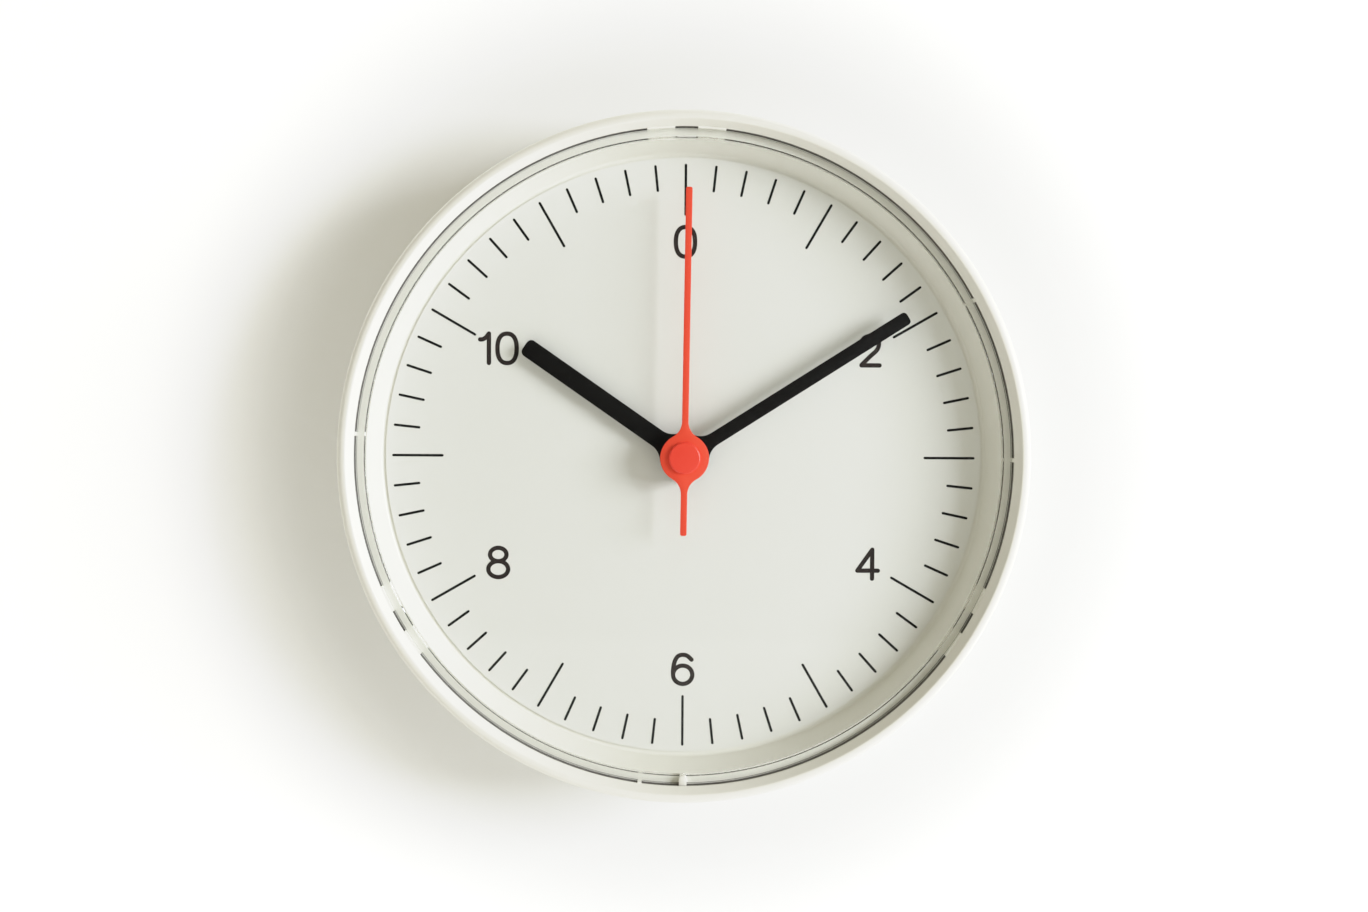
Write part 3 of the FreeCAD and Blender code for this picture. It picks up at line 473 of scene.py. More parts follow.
def shade(mesh: bpy.types.Mesh, sharp: float) -> None:
    """Shade a mesh smooth between the edges that turn by more than some degrees."""
    mesh.polygons.foreach_set("use_smooth", [True] * len(mesh.polygons))
    mesh.set_sharp_from_angle(angle=math.radians(sharp))


def apart(one: float, two: float) -> float:
    """The smaller turn between two angles, in degrees."""
    return abs((one - two + 180) % 360 - 180)


def new_piece(
    name: str,
    bm: bmesh.types.BMesh,
    finishes: Sequence[Finish | ClearFinish],
    sharp: float = 33.0,
    merge: float = 2e-6,
) -> bpy.types.Object:
    """Turn a mesh in the making into a finished object at the origin.

    Args:
        name: the piece's name.
        bm: the mesh; it is freed.
        finishes: its finishes, in the order of its faces' material numbers.
        sharp: edges that turn by more than this many degrees stay sharp.
        merge: points nearer than this, in metres, become one.

    Returns:
        The object.
    """
    bmesh.ops.remove_doubles(bm, verts=bm.verts, dist=merge)
    bmesh.ops.dissolve_degenerate(bm, edges=bm.edges, dist=1e-7)
    bmesh.ops.recalc_face_normals(bm, faces=bm.faces)
    mesh = bpy.data.meshes.new(name)
    bm.to_mesh(mesh)
    bm.free()
    shade(mesh, sharp)
    for finish in finishes:
        mesh.materials.append(finish.material())
    return linked(name, mesh)


def revolve(
    bm: bmesh.types.BMesh,
    profile_at: Callable[[float], Profile],
    angles: Sequence[float],
    closed: bool = True,
    place: Callable[[float, float, float], Vector] | None = None,
    finish_of: Callable[[int, float], int] = lambda run, angle: 0,
) -> None:
    """Add a turned shape to a mesh.

    Args:
        bm: the mesh.
        profile_at: the profile at an angle, always with as many points.
        angles: the angles of its columns, in degrees.
        closed: whether the profile is a loop.
        place: where a point of given angle, radius and height goes; about the dial's axis if left out.
        finish_of: the material number of a run of the profile at an angle.
    """
    if place is None:

        def place(angle: float, r: float, z: float) -> Vector:
            """A point about the dial's axis."""
            return stand(r * math.sin(angle), r * math.cos(angle), z)

    columns = []
    for angle in angles:
        turn = math.radians(angle)
        columns.append([bm.verts.new(place(turn, r, z)) for r, z in profile_at(angle)])
    runs = len(columns[0]) - (0 if closed else 1)
    for angle, one, two in zip(angles, columns, columns[1:] + columns[:1]):
        for i in range(runs):
            j = (i + 1) % len(one)
            face = bm.faces.new((one[i], one[j], two[j], two[i]))
            face.material_index = finish_of(i, angle)


def prism(bm: bmesh.types.BMesh, outline: Sequence[Point], low: float, high: float) -> None:
    """Add a straight-sided solid to a mesh.

    Args:
        bm: the mesh.
        outline: its outline as right and up, in mm.
        low: its distance from the wall at the back, in mm.
        high: the same at its front.
    """
    rear = [bm.verts.new(stand(x, y, low)) for x, y in outline]
    front = [bm.verts.new(stand(x, y, high)) for x, y in outline]
    bm.faces.new(rear)
    bm.faces.new(front)
    for k in range(len(outline)):
        j = (k + 1) % len(outline)
        bm.faces.new((rear[k], rear[j], front[j], front[k]))


def box_outline(x0: float, x1: float, y0: float, y1: float) -> list[Point]:
    """The four corners of an upright rectangle."""
    return [(x0, y0), (x1, y0), (x1, y1), (x0, y1)]


def tidy_bevel(piece: bpy.types.Object, width: float, sharp: float = 38.0, steps: int = 2) -> None:
    """Round a piece's sharp edges and keep the result as its mesh.

    Args:
        piece: the object.
        width: the round's width, in mm.
        sharp: edges that turn by more than this many degrees are rounded.
        steps: how many runs each round has.
    """
    bevel = piece.modifiers.new("edge round", "BEVEL")
    bevel.width = width * MM
    bevel.segments = steps
    bevel.limit_method = "ANGLE"
    bevel.angle_limit = math.radians(sharp)
    bevel.use_clamp_overlap = True
    bevel.miter_outer = "MITER_ARC"
    bake_down(piece)
    shade(piece.data, sharp)


def bake_down(piece: bpy.types.Object) -> None:
    """Replace a piece's mesh by what its modifiers give, and drop them.

    Args:
        piece: the object.
    """
    bpy.context.view_layer.update()
    graph = bpy.context.evaluated_depsgraph_get()
    shown = piece.evaluated_get(graph)
    result = bpy.data.meshes.new_from_object(shown, preserve_all_data_layers=True, depsgraph=graph)
    piece.modifiers.clear()
    old = piece.data
    piece.data = result
    result.name = piece.name
    bpy.data.meshes.remove(old)


def refined(node: str, finish: Finish, width: float, name: str = "", sharp: float = 38.0) -> bpy.types.Object:
    """A merged copy of a frame node with its edges rounded.

    Args:
        node: the node's name.
        finish: its finish.
        width: the edge round, in mm; 0 leaves the edges.
        name: the copy's name.
        sharp: the angle that counts as an edge, in degrees.

    Returns:
        The copy, which rides nothing yet.
    """
    bm = bmesh.new()
    bm.from_mesh(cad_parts[node].data)
    bmesh.ops.remove_doubles(bm, verts=bm.verts, dist=3e-6)
    bmesh.ops.dissolve_limit(bm, angle_limit=math.radians(1.5), verts=bm.verts, edges=bm.edges)
    piece = new_piece(name or f"{node}_finished", bm, [finish], sharp, 3e-6)
    if width > 0:
        tidy_bevel(piece, width, sharp)
    return piece


def settle(piece: bpy.types.Object, body: str, slot: str, *nodes: str) -> None:
    """Give a finished piece its body, hide the nodes it stands for, and report it.

    Args:
        piece: the object.
        body: the body it moves with.
        slot: not used.
        *nodes: the frame nodes it replaces.
    """
    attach(piece, body)
    if nodes:
        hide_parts(*nodes)
    LOG.info("%s: %d faces on %s", piece.name, len(piece.data.polygons), body)


def dress(node: str, finish: Finish) -> None:
    """Give a frame node that stays in view its finish.

    Args:
        node: the node's name.
        finish: the finish.
    """
    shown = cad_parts[node]
    if not shown.data.materials:
        shown.data.materials.append(finish.material())
    for place in shown.material_slots:
        place.material = finish.material()
    LOG.info("%s: %s", node, finish.name)


# ---------------------------------------------------------------- repeated bars


BAR_INPUTS = {
    "Count": ("NodeSocketInt", 12),
    "Leave out every": ("NodeSocketInt", 0),
    "Width": ("NodeSocketFloat", 0.001),
    "Length": ("NodeSocketFloat", 0.01),
    "Outer radius": ("NodeSocketFloat", 0.1),
    "Corner radius": ("NodeSocketFloat", 0.0004),
    "Thickness": ("NodeSocketFloat", 0.0001),
    "Centre": ("NodeSocketVector", (0.0, 0.0, 0.0)),
    "Turn": ("NodeSocketFloat", 0.0),
    "Finish": ("NodeSocketMaterial", None),
}


def ring_of_bars() -> bpy.types.NodeTree:
    """Round-ended bars set like spokes round a centre, as on a dial, behind it or round a knob.

    Returns:
        The geometry tree, built on its first use.
    """
    known = bpy.data.node_groups.get("ring_of_bars")
    if known:
        return known
    tree = bpy.data.node_groups.new("ring_of_bars", "GeometryNodeTree")
    sockets(tree, "INPUT", {"Geometry": "NodeSocketGeometry"})
    for name, (kind, value) in BAR_INPUTS.items():
        made = tree.interface.new_socket(name=name, in_out="INPUT", socket_type=kind)
        if value is not None:
            made.default_value = value
    sockets(tree, "OUTPUT", {"Geometry": "NodeSocketGeometry"})
    g = Graph(tree)
    given = g.add("NodeGroupInput").outputs
    put = g.add("NodeGroupOutput")
    outline = g.add("GeometryNodeCurvePrimitiveQuadrilateral", {"Width": given["Width"], "Height": given["Length"]})
    eased = g.add(
        "GeometryNodeFilletCurve",
        {"Curve": outline.outputs[0], "Count": 5, "Radius": given["Corner radius"]},
        mode="POLY",
    )
    flat = g.add("GeometryNodeFillCurve", {"Curve": eased.outputs[0]}, mode="NGONS")
    raised = g.add(
        "GeometryNodeExtrudeMesh", {"Mesh": flat.outputs[0], "Offset Scale": given["Thickness"]}, mode="FACES"
    )
    under = g.add("GeometryNodeFlipFaces", {"Mesh": flat.outputs[0]})
    whole = g.add("GeometryNodeJoinGeometry")
    g.join(raised.outputs["Mesh"], whole.inputs[0])
    g.join(under.outputs[0], whole.inputs[0])
    sealed = g.add("GeometryNodeMergeByDistance", {"Geometry": whole.outputs[0], "Distance": 1e-6})
    out = g.math("SUBTRACT", given["Outer radius"], g.math("DIVIDE", given["Length"], 2.0))
    reach = g.add("ShaderNodeCombineXYZ", {"Y": out}).outputs[0]
    spoke = g.add("GeometryNodeTransform", {"Geometry": sealed.outputs[0], "Translation": reach})
    spots = g.add("GeometryNodePoints", {"Count": given["Count"]})
    index = g.add("GeometryNodeInputIndex").outputs[0]
    angle = g.math("MULTIPLY", index, g.math("DIVIDE", -2 * math.pi, given["Count"]))
    turned = g.add("ShaderNodeCombineXYZ", {"Z": g.math("ADD", angle, given["Turn"])}).outputs[0]
    spin = g.add("FunctionNodeEulerToRotation", {0: turned}).outputs[0]
    left = g.math("GREATER_THAN", g.math("MODULO", index, given["Leave out every"]), 0.5)
    keep = g.math("MAXIMUM", left, g.math("LESS_THAN", given["Leave out every"], 0.5))
    copies = g.add(
        "GeometryNodeInstanceOnPoints",
        {"Points": spots.outputs[0], "Instance": spoke.outputs[0], "Rotation": spin, "Selection": keep},
    )
    real = g.add("GeometryNodeRealizeInstances", {"Geometry": copies.outputs[0]})
    upright = g.add(
        "GeometryNodeTransform",
        {"Geometry": real.outputs[0], "Translation": given["Centre"], "Rotation": (math.pi / 2, 0.0, 0.0)},
    )
    done = g.add("GeometryNodeSetMaterial", {"Geometry": upright.outputs[0], "Material": given["Finish"]})
    g.join(done.outputs[0], put.inputs[0])
    return tree


@dataclass(frozen=True)
class Bars:
    """Sizes of one ring of bars, in mm, with its centre as right, up and out from the wall."""

    count: int
    width: float
    length: float
    outer: float
    thickness: float
    centre: tuple[float, float, float]
    corner: float = 0.0
    leave: int = 0
    turn: float = 0.0

    def build(self, name: str, finish: Finish, sharp: float = 33.0) -> bpy.types.Object:
        """Grow the bars and keep them as a plain mesh.

        Args:
            name: the piece's name.
            finish: its finish.
            sharp: edges that turn by more than this many degrees stay sharp.

        Returns:
            The object.
        """
        piece = linked(name, bpy.data.meshes.new(name))
        grown = piece.modifiers.new("bars", "NODES")
        grown.node_group = ring_of_bars()
        values = {
            "Count": self.count,
            "Leave out every": self.leave,
            "Width": self.width * MM,
            "Length": self.length * MM,
            "Outer radius": self.outer * MM,
            "Corner radius": (self.corner or self.width / 2 - 0.001) * MM,
            "Thickness": self.thickness * MM,
            "Centre": tuple(stand(*self.centre)),
            "Turn": self.turn,
            "Finish": finish.material(),
        }
        for item in grown.node_group.interface.items_tree:
            if item.in_out == "INPUT" and item.name in values:
                grown[item.identifier] = values[item.name]
        bake_down(piece)
        shade(piece.data, sharp)
        return piece


# ---------------------------------------------------------------- the clock


@dataclass
class CaseShell:
    """White case: side wall, front lip, sloped dish, ribs, fence and screw bosses."""

    radius: float = 132.5
    rear_radius: float = 131.5
    depth: float = 55.0
    inner: float = 130.1
    lip_top: float = 129.0
    lip_foot: float = 126.45
    lip_drop: float = 3.8
    lip_base: float = 44.8
    seat: float = 47.2
    ledge: float = 122.4
    dish_foot: float = 117.6
    dish_wall: float = 2.2
    floor_front: float = 34.4
    floor_rear: float = 32.4
    hole: float = 4.3
    window_centres: tuple[float, ...] = (0.0, 120.0, 240.0)
    window_half: float = 6.85
    lug_half: float = 2.0
    pinch_angles: tuple[float, ...] = (61.0, 90.0, 187.6, 274.0)
    pinch: float = 0.62
    pinch_half: float = 0.36
    pocket: float = 2.2
    pocket_front: float = 50.2
    fence_half: float = 30.6
    fence_wall: float = 1.6
    fence_rear: float = 28.4
    fence_front: float = 32.7
    boss_side: float = 16.0
    boss_height: float = 96.0
    boss_hole: float = 1.25
    boss_rear: float = 6.0
    key_centre: float = -124.05
    key_radius: float = 1.5
    key_foot: float = -126.9
    columns: int = 420

    def _wall_radius(self, angle: float) -> float:
        """Radius of the lip's inner wall, with its snap windows and pinch ribs.

        Args:
            angle: clockwise from 12, in degrees.

        Returns:
            The radius, in mm.
        """
        for centre in self.window_centres:
            off = apart(angle, centre)
            if off <= self.lug_half:
                return self.lip_foot + self.pocket
            if off <= self.window_half:
                return self.lip_foot - self.pinch
        if any(apart(angle, centre) <= self.pinch_half for centre in self.pinch_angles):
            return self.lip_foot - self.pinch
        return self.lip_foot

    def profile(self, angle: float) -> Profile:
        """The case's section, with the same number of points all round.

        Args:
            angle: clockwise from 12, in degrees.

        Returns:
            The section's points.
        """
        wall = self._wall_radius(angle)
        brow = min(wall, self.lip_foot)
        head = rounded(
            [
                (self.hole, self.floor_front, 0),
                (self.dish_foot, self.floor_front, 1.3),
                (self.ledge, self.seat, 0.7),
                (brow - 0.85, self.seat, 0),
            ],
            closed=False,
        )
        lip = rounded(
            [
                (self.lip_foot, self.depth - self.lip_drop, 0),
                (self.lip_top, self.depth, 0.9),
                (self.radius, self.depth, 2.4),
                (self.radius, self.lip_base, 0),
                (self.rear_radius, 0.0, 0.8),
                (self.inner, 0.0, 0.5),
                (self.inner, self.lip_base, 1.2),
                (self.ledge + self.dish_wall, self.lip_base, 1.0),
                (self.dish_foot + 1.6, self.floor_rear, 1.6),
                (self.hole, self.floor_rear, 0),
            ],
            closed=False,
        )
        top = self.pocket_front
        steps = [(wall, self.seat), (wall, top), (brow, top), (brow, self.depth - self.lip_drop - 0.15)]
        return head + steps + lip

    def build(self) -> list[bpy.types.Object]:
        """Make the shell and what is moulded with it.

        Returns:
            The shell, the ribs, the fence with the bosses, and the key.
        """
        edges = []
        for centre in self.window_centres:
            for half in (self.lug_half, self.window_half):
                for side in (-1, 1):
                    edges += [centre + side * half - STEP, centre + side * half + STEP]
        for centre in self.pinch_angles:
            for side in (-1, 1):
                edge = centre + side * self.pinch_half
                edges += [edge - STEP, edge + STEP, centre + side * 0.62]
        bm = bmesh.new()
        plain = self.profile(20.0)
        gap_floor = next(i for i, (r, z) in enumerate(plain) if r > self.ledge + 3 and z == self.seat)

        def in_painted_gap_shade(run: int, angle: float) -> int:
            """Number 1, painted shade: dark paint on the floor and the wall of the open gap, where the gap's shadow
            falls.
            """
            return int(self._wall_radius(angle + 0.03) >= self.lip_foot and gap_floor <= run <= gap_floor + 1)

        revolve(bm, self.profile, even_angles(self.columns, edges), finish_of=in_painted_gap_shade)
        # The second finish is painted shade: dark paint in the gap behind the lip, where the gap's shadow falls.
        shell = new_piece("case_shell", bm, [CASE_WHITE, GAP_PAINTED_SHADE], 30.0)
        ribs = Bars(8, 1.6, 74.6, 118.6, 6.3, (0, 0, 26.4), corner=0.25).build("case_ribs", CASE_WHITE)
        bm = bmesh.new()
        half, out, front = self.fence_half, self.fence_half + self.fence_wall, self.fence_front
        across = ((-out, out, half, out), (-out, out, -out, -half))
        upright = ((-out, -half, -half, half), (half, out, -half, half))
        for sides in (*across, *upright):
            prism(bm, box_outline(*sides), self.fence_rear, front)
        hole, rear = self.boss_hole, self.boss_rear
        ring = rounded([(hole, rear, 0), (3.4, rear, 0.4), (3.9, front, 0), (hole, front, 0)])
        for x in (-self.boss_side, self.boss_side):

            def place(angle: float, r: float, z: float, x: float = x) -> Vector:
                """A point about a screw boss's axis."""
                return stand(x + r * math.sin(angle), self.boss_height + r * math.cos(angle), z)

            revolve(bm, lambda angle: ring, even_angles(40), place=place)
        fence = new_piece("case_fence", bm, [CASE_WHITE])
        bm = bmesh.new()
        y, r, foot = self.key_centre, self.key_radius, self.key_foot
        arch = [(r * math.cos(math.radians(a)), y + r * math.sin(math.radians(a))) for a in range(0, 181, 12)]
        prism(bm, [(r, foot), *arch, (-r, foot)], 45.0, 49.8)
        key = new_piece("case_key", bm, [CASE_WHITE])
        tidy_bevel(key, 0.2)
        return [shell, ribs, fence, key]

    def dress(self, pieces: list[bpy.types.Object]) -> None:
        """Settle the case's pieces on the fixed body.

        Args:
            pieces: what build returned.
        """
        settle(pieces[0], "clock", "case_white", "case")
        for piece in pieces[1:]:
            settle(piece, "clock", "case_white")


@dataclass
class ClearFront:
    """Clear front panel with its stepped edge, snap lugs and notch."""

    radius: float = 125.7
    panel: float = 122.0
    seat: float = 47.28
    panel_rear: float = 50.0
    panel_front: float = 51.4
    flange: float = 50.4
    lug_centres: tuple[float, ...] = (0.0, 120.0, 240.0)
    lug_half: float = 1.65
    lug_reach: float = 1.6
    lug_rear: float = 47.9
    lug_front: float = 49.5
    notch_half: float = 1.75
    notch_height: float = 3.4
    columns: int = 420

    def _edge(self, angle: float) -> float:
        """Radius of the outer edge, smaller in the notch.

        Args:
            angle: clockwise from 12, in degrees.

        Returns:
            The radius, in mm.
        """
        across = abs(self.radius * math.sin(math.radians(angle - 180)))
        if math.cos(math.radians(angle - 180)) < 0 or across >= self.notch_half:
            return self.radius
        top = self.radius - self.notch_height + self.notch_half
        return top - math.sqrt(self.notch_half**2 - across**2)

    def profile(self, angle: float) -> Profile:
        """The panel's section, with the same number of points all round.

        Args:
            angle: clockwise from 12, in degrees.

        Returns:
            The section's points, from the axis at the rear to the axis at the front.
        """
        edge = self._edge(angle)
        lug = any(apart(angle, c) <= self.lug_half for c in self.lug_centres)
        out = edge + (self.lug_reach if lug else 0.0)
        outer = [
            (min(self.panel + 0.8, edge), self.seat),
            (edge, self.seat),
            (edge, self.lug_rear),
            (out, self.lug_rear),
            (out, self.lug_front),
            (edge, self.lug_front),
            (edge, self.flange - 0.3),
            (edge - 0.1, self.flange - 0.1),
            (edge - 0.3, self.flange),
        ]
        step = rounded(
            [
                (min(self.radius - 0.4, edge) - 0.3, self.flange, 0),
                (min(self.panel + 0.6, edge), self.flange, 0.0),
                (min(self.panel, edge - 0.4), self.panel_front, 0.25),
                (0.0, self.panel_front, 0),
            ],
            closed=False,
        )
        return [(0.0, self.panel_rear), (min(self.panel - 0.4, edge - 0.5), self.panel_rear), *outer, *step[1:]]

    def build(self) -> bpy.types.Object:
        """Make the panel.

        Returns:
            The object.
        """
        edges = []
        for centre in self.lug_centres:
            edges += [centre + s * self.lug_half + d for s in (-1, 1) for d in (-STEP, STEP)]
        reach = math.degrees(math.asin(self.notch_half / self.radius))
        edges += [180 + reach * math.sin(math.radians(a)) for a in range(-90, 91, 10)]
        bm = bmesh.new()
        revolve(bm, self.profile, even_angles(self.columns, edges), closed=False)
        return new_piece("clear_front", bm, [CLEAR], 24.0)

    def dress(self, piece: bpy.types.Object) -> None:
        """Settle the panel on the fixed body."""
        settle(piece, "clock", "clear", "lens")


@dataclass(frozen=True)
class Stroke:
    """One pen stroke of a numeral: its middle line in mm, and whether it closes."""

    line: tuple[Point, ...]
    closed: bool = False
    smooth: bool = False


def oval(cx: float, cy: float, a: float, b: float, power: float = 2.0) -> Stroke:
    """A closed oval stroke.

    Args:
        cx: its centre to the right.
        cy: its centre upwards.
        a: half its width.
        b: half its height.
        power: 2 is an ellipse, and more is squarer.

    Returns:
        The stroke.
    """
    line = []
    for k in range(72):
        t = 2 * math.pi * k / 72
        c, s = math.cos(t), math.sin(t)
        line.append(
            (
                cx + a * math.copysign(abs(c) ** (2 / power), c),
                cy + b * math.copysign(abs(s) ** (2 / power), s),
            )
        )
    return Stroke(tuple(line), closed=True)


def flowing(points: Sequence[Point], steps: int = 8) -> list[Point]:
    """A smooth line through points.

    Args:
        points: what it goes through.
        steps: how many runs between two of them.

    Returns:
        The line's points.
    """
    ends = [points[0], *points, points[-1]]
    found = []
    for a, b, c, d in zip(ends, ends[1:], ends[2:], ends[3:]):
        for k in range(steps):
            t = k / steps
            found.append(
                tuple(
                    0.5 * (2 * q + (r - p) * t + (2 * p - 5 * q + 4 * r - s) * t**2 + (3 * q - p - 3 * r + s) * t**3)
                    for p, q, r, s in zip(a, b, c, d)
                )
            )
    return [*found, points[-1]]


ZERO = oval(0.0, 0.0, 3.72, 5.7, 2.35)
TWO_NECK = ((-3.4, 3.0), (-2.5, 4.9), (0.0, 5.75), (2.55, 4.95), (3.4, 2.85), (2.6, 0.3), (0.0, -2.2), (-3.3, -5.5))
SIX_BACK = ((3.42, 3.86), (1.8, 5.3), (0.1, 5.75), (-1.87, 5.2), (-3.16, 3.1), (-3.75, -0.1), (-3.75, -2.1))
ONE_FLAG = ((-7.2, 3.4), (-6.1, 3.5), (-4.9, 4.3), (-3.9, 5.6))
NUMERALS: dict[int, tuple[Stroke, ...]] = {
    0: (ZERO,),
    2: (Stroke(TWO_NECK, smooth=True), Stroke(((-3.35, -5.7), (3.7, -5.7)))),
    4: (
        Stroke(((1.64, 5.7), (1.64, -5.7))),
        Stroke(((1.64, 5.7), (-4.14, -2.54))),
        Stroke(((-4.14, -2.54), (3.9, -2.54))),
    ),
    6: (Stroke(SIX_BACK, smooth=True), oval(0.0, -2.1, 3.75, 3.6)),
    8: (oval(0.0, 3.1, 3.2, 2.62), oval(0.0, -2.62, 3.85, 3.12)),
    10: (
        Stroke(((-3.8, 5.7), (-3.8, -5.7))),
        Stroke(ONE_FLAG, smooth=True),
        Stroke(tuple((x + 3.24, y) for x, y in ZERO.line), closed=True),
    ),
}


@dataclass
class DialFace:
    """Off-white dial disc with its printed bars and numerals."""

    radius: float = 115.9
    rear: float = 34.4
    front: float = 35.0
    hole: float = 4.3
    bar_outer: float = 113.5
    bar_width: float = 1.0
    print_height: float = 0.03
    numeral_ring: float = 83.4
    pen: float = 1.72

    def _ribbon(self, bm: bmesh.types.BMesh, stroke: Stroke, at: Point, lift: float) -> None:
        """Lay one round-ended stroke of ink on the dial.

        Args:
            bm: the mesh it goes into.
            stroke: the stroke.
            at: the numeral's centre, right and up.
            lift: how far its top stands off the dial.
        """
        line = [Vector(p) for p in (flowing(stroke.line) if stroke.smooth else stroke.line)]
        half = self.pen / 2
        ends = [(half * math.sin(math.radians(a)), half * math.cos(math.radians(a))) for a in (18, 36, 54, 72, 90)]
        rows: list[tuple[Vector, Vector, float]] = []
        n = len(line)
        for k, p in enumerate(line):
            ahead = line[(k + 1) % n] if stroke.closed or k < n - 1 else p
            behind = line[k - 1] if stroke.closed or k > 0 else p
            way = (ahead - behind).normalized()
            across = Vector((-way.y, way.x))
            if not stroke.closed and k == 0:
                rows += [(p - way * along, across, reach) for along, reach in reversed(ends)]
            rows.append((p, across, half))
            if not stroke.closed and k == n - 1:
                rows += [(p + way * along, across, reach) for along, reach in ends]
        rings = []
        for middle, across, reach in rows:
            a, b = middle + across * reach, middle - across * reach
            low, high = self.front - 0.01, self.front + lift
            corners = ((a, high), (b, high), (b, low), (a, low))
            rings.append([bm.verts.new(stand(at[0] + q.x, at[1] + q.y, z)) for q, z in corners])
        pairs = list(zip(rings, rings[1:])) + ([(rings[-1], rings[0])] if stroke.closed else [])
        for one, two in pairs:
            for i in range(4):
                j = (i + 1) % 4
                bm.faces.new((one[i], one[j], two[j], two[i]))

    def build(self) -> list[bpy.types.Object]:
        """Make the disc and its print.

        Returns:
            The disc, the two rings of bars and the numerals.
        """
        bm = bmesh.new()
        hole, edge, rear, front = self.hole, self.radius, self.rear, self.front
        ring = rounded([(hole, rear, 0), (edge, rear, 0), (edge, front, 0.12), (hole, front, 0)])
        revolve(bm, lambda angle: ring, even_angles(420))
        disc = new_piece("dial_disc", bm, [DIAL_WHITE])
        bars = []
        for kind in Dial:
            length, count, leave = kind.value
            ring_sizes = (count, self.bar_width, length, self.bar_outer, self.print_height, (0, 0, front))
            bars.append(Bars(*ring_sizes, leave=leave).build(f"dial_{kind.name.lower()}_bars", DIAL_INK))
        bm = bmesh.new()
        for hour, strokes in NUMERALS.items():
            turn = math.radians(30 * hour)
            at = (self.numeral_ring * math.sin(turn), self.numeral_ring * math.cos(turn))
            for k, stroke in enumerate(strokes):
                self._ribbon(bm, stroke, at, self.print_height + 0.006 * k)
        numerals = new_piece("dial_numerals", bm, [NUMERAL_INK])
        return [disc, *bars, numerals]

    def dress(self, pieces: list[bpy.types.Object]) -> None:
        """Settle the dial's pieces on the fixed body.

        Args:
            pieces: what build returned.
        """
        settle(pieces[0], "clock", "dial_white", "dial")
        for piece in pieces[1:]:
            settle(piece, "clock", "hand_black")


@dataclass
class HandSet:
    """The three hands and the cap over the seconds arbor."""

    edge: float = 0.12
    cap_radius: float = 6.1
    cap_rear: float = 47.0
    cap_front: float = 48.6
    cap_round: float = 0.7

    def build(self) -> list[tuple[bpy.types.Object, str, str, str]]:
        """Make the hands and the cap.

        Returns:
            Each piece with its body, its slot and its node.
        """
        made = []
        for node, finish, body, slot in (
            ("hour_hand", HAND_BLACK, "hour", "hand_black"),
            ("minute_hand", HAND_BLACK, "minute", "hand_black"),
            ("second_hand", HAND_RED, "second", "hand_red"),
        ):
            made.append((refined(node, finish, self.edge), body, slot, node))
        section = rounded(
            [
                (0.0, self.cap_rear, 0),
                (self.cap_radius - 0.15, self.cap_rear, 0),
                (self.cap_radius, self.cap_rear + 0.3, 0),
                (self.cap_radius, self.cap_front, self.cap_round),
                (0.0, self.cap_front, 0),
            ],
            closed=False,
        )
        bm = bmesh.new()
        revolve(bm, lambda angle: section, even_angles(120), closed=False)
        made.append((new_piece("hand_boss_finished", bm, [BOSS_RED], 50.0), "second", "boss_red", "hand_boss"))
        return made

    def dress(self, made: list[tuple[bpy.types.Object, str, str, str]]) -> None:
        """Settle each hand on its own body."""
        for piece, body, slot, node in made:
            settle(piece, body, slot, node)


@dataclass
class Fastening:
    """Stem, nut and washers that clamp the movement to the dial."""

    edge: float = 0.2

    def build(self) -> None:
        """Make the nut and the washers, and finish the stem."""
        for node, finish, slot, width in (
            ("fixing_nut", BRASS_TURNED, "brass", self.edge),
            ("fixing_washer", BRASS_TURNED, "brass", 0.08),
            ("rubber_washer", RUBBER, "rubber", 0.15),
        ):
            settle(refined(node, finish, width), "clock", slot, node)
        dress("threaded_stem", BRASS_THREAD)


@dataclass
class Movement:
    """Quartz movement: housing, cover, train, coil, stator and board."""

    finishes: dict[str, Finish] = field(
        default_factory=lambda: {
            "train_plate": GEAR_WHITE,
            "contact_positive": SPRING_STEEL,
            "contact_negative": SPRING_STEEL,
            "circuit_board": BOARD,
            "chip": RESIN,
            "crystal_can": CAN,
            "coil_bobbin": BOBBIN,
            "coil_winding": COPPER,
            "coil_core": PLATE_STEEL,
            "stator": PLATE_STEEL,
            "stator_screws": PLATE_STEEL,
            "rotor_magnet": MAGNET,
            "rotor_pinion": GEAR_WHITE,
            "intermediate_wheel": GEAR_WHITE,
            "seconds_wheel": GEAR_WHITE,
            "seconds_arbor": SPRING_STEEL,
            "third_wheel": GEAR_AMBER,
            "centre_wheel": GEAR_WHITE,
            "friction_washer": SPRING_STEEL,
            "minute_tube": BRASS_TURNED,
            "motion_wheel": GEAR_AMBER,
            "hour_wheel": GEAR_WHITE,
        }
    )
    knob_centre: Point = (-18.671, -5.721)
    knob_radius: float = 4.5

    def build(self) -> None:
        """Round the housing's edges, finish the knob and dress the rest."""
        settle(refined("housing_front", MOVEMENT_BLACK, 0.18), "clock", "movement_black", "housing_front")
        settle(refined("housing_cover", MOVEMENT_BLACK, 0.18), "clock", "movement_black", "housing_cover")
        settle(refined("setting_knob", GEAR_WHITE, 0.1), "knob", "gear_white", "setting_knob")
        grip = Bars(24, 0.5, 0.5, self.knob_radius + 0.12, 1.7, (*self.knob_centre, 13.1), corner=0.18)
        settle(grip.build("setting_knob_grip", GEAR_WHITE), "knob", "gear_white")
        for node, finish in self.finishes.items():
            dress(node, finish)


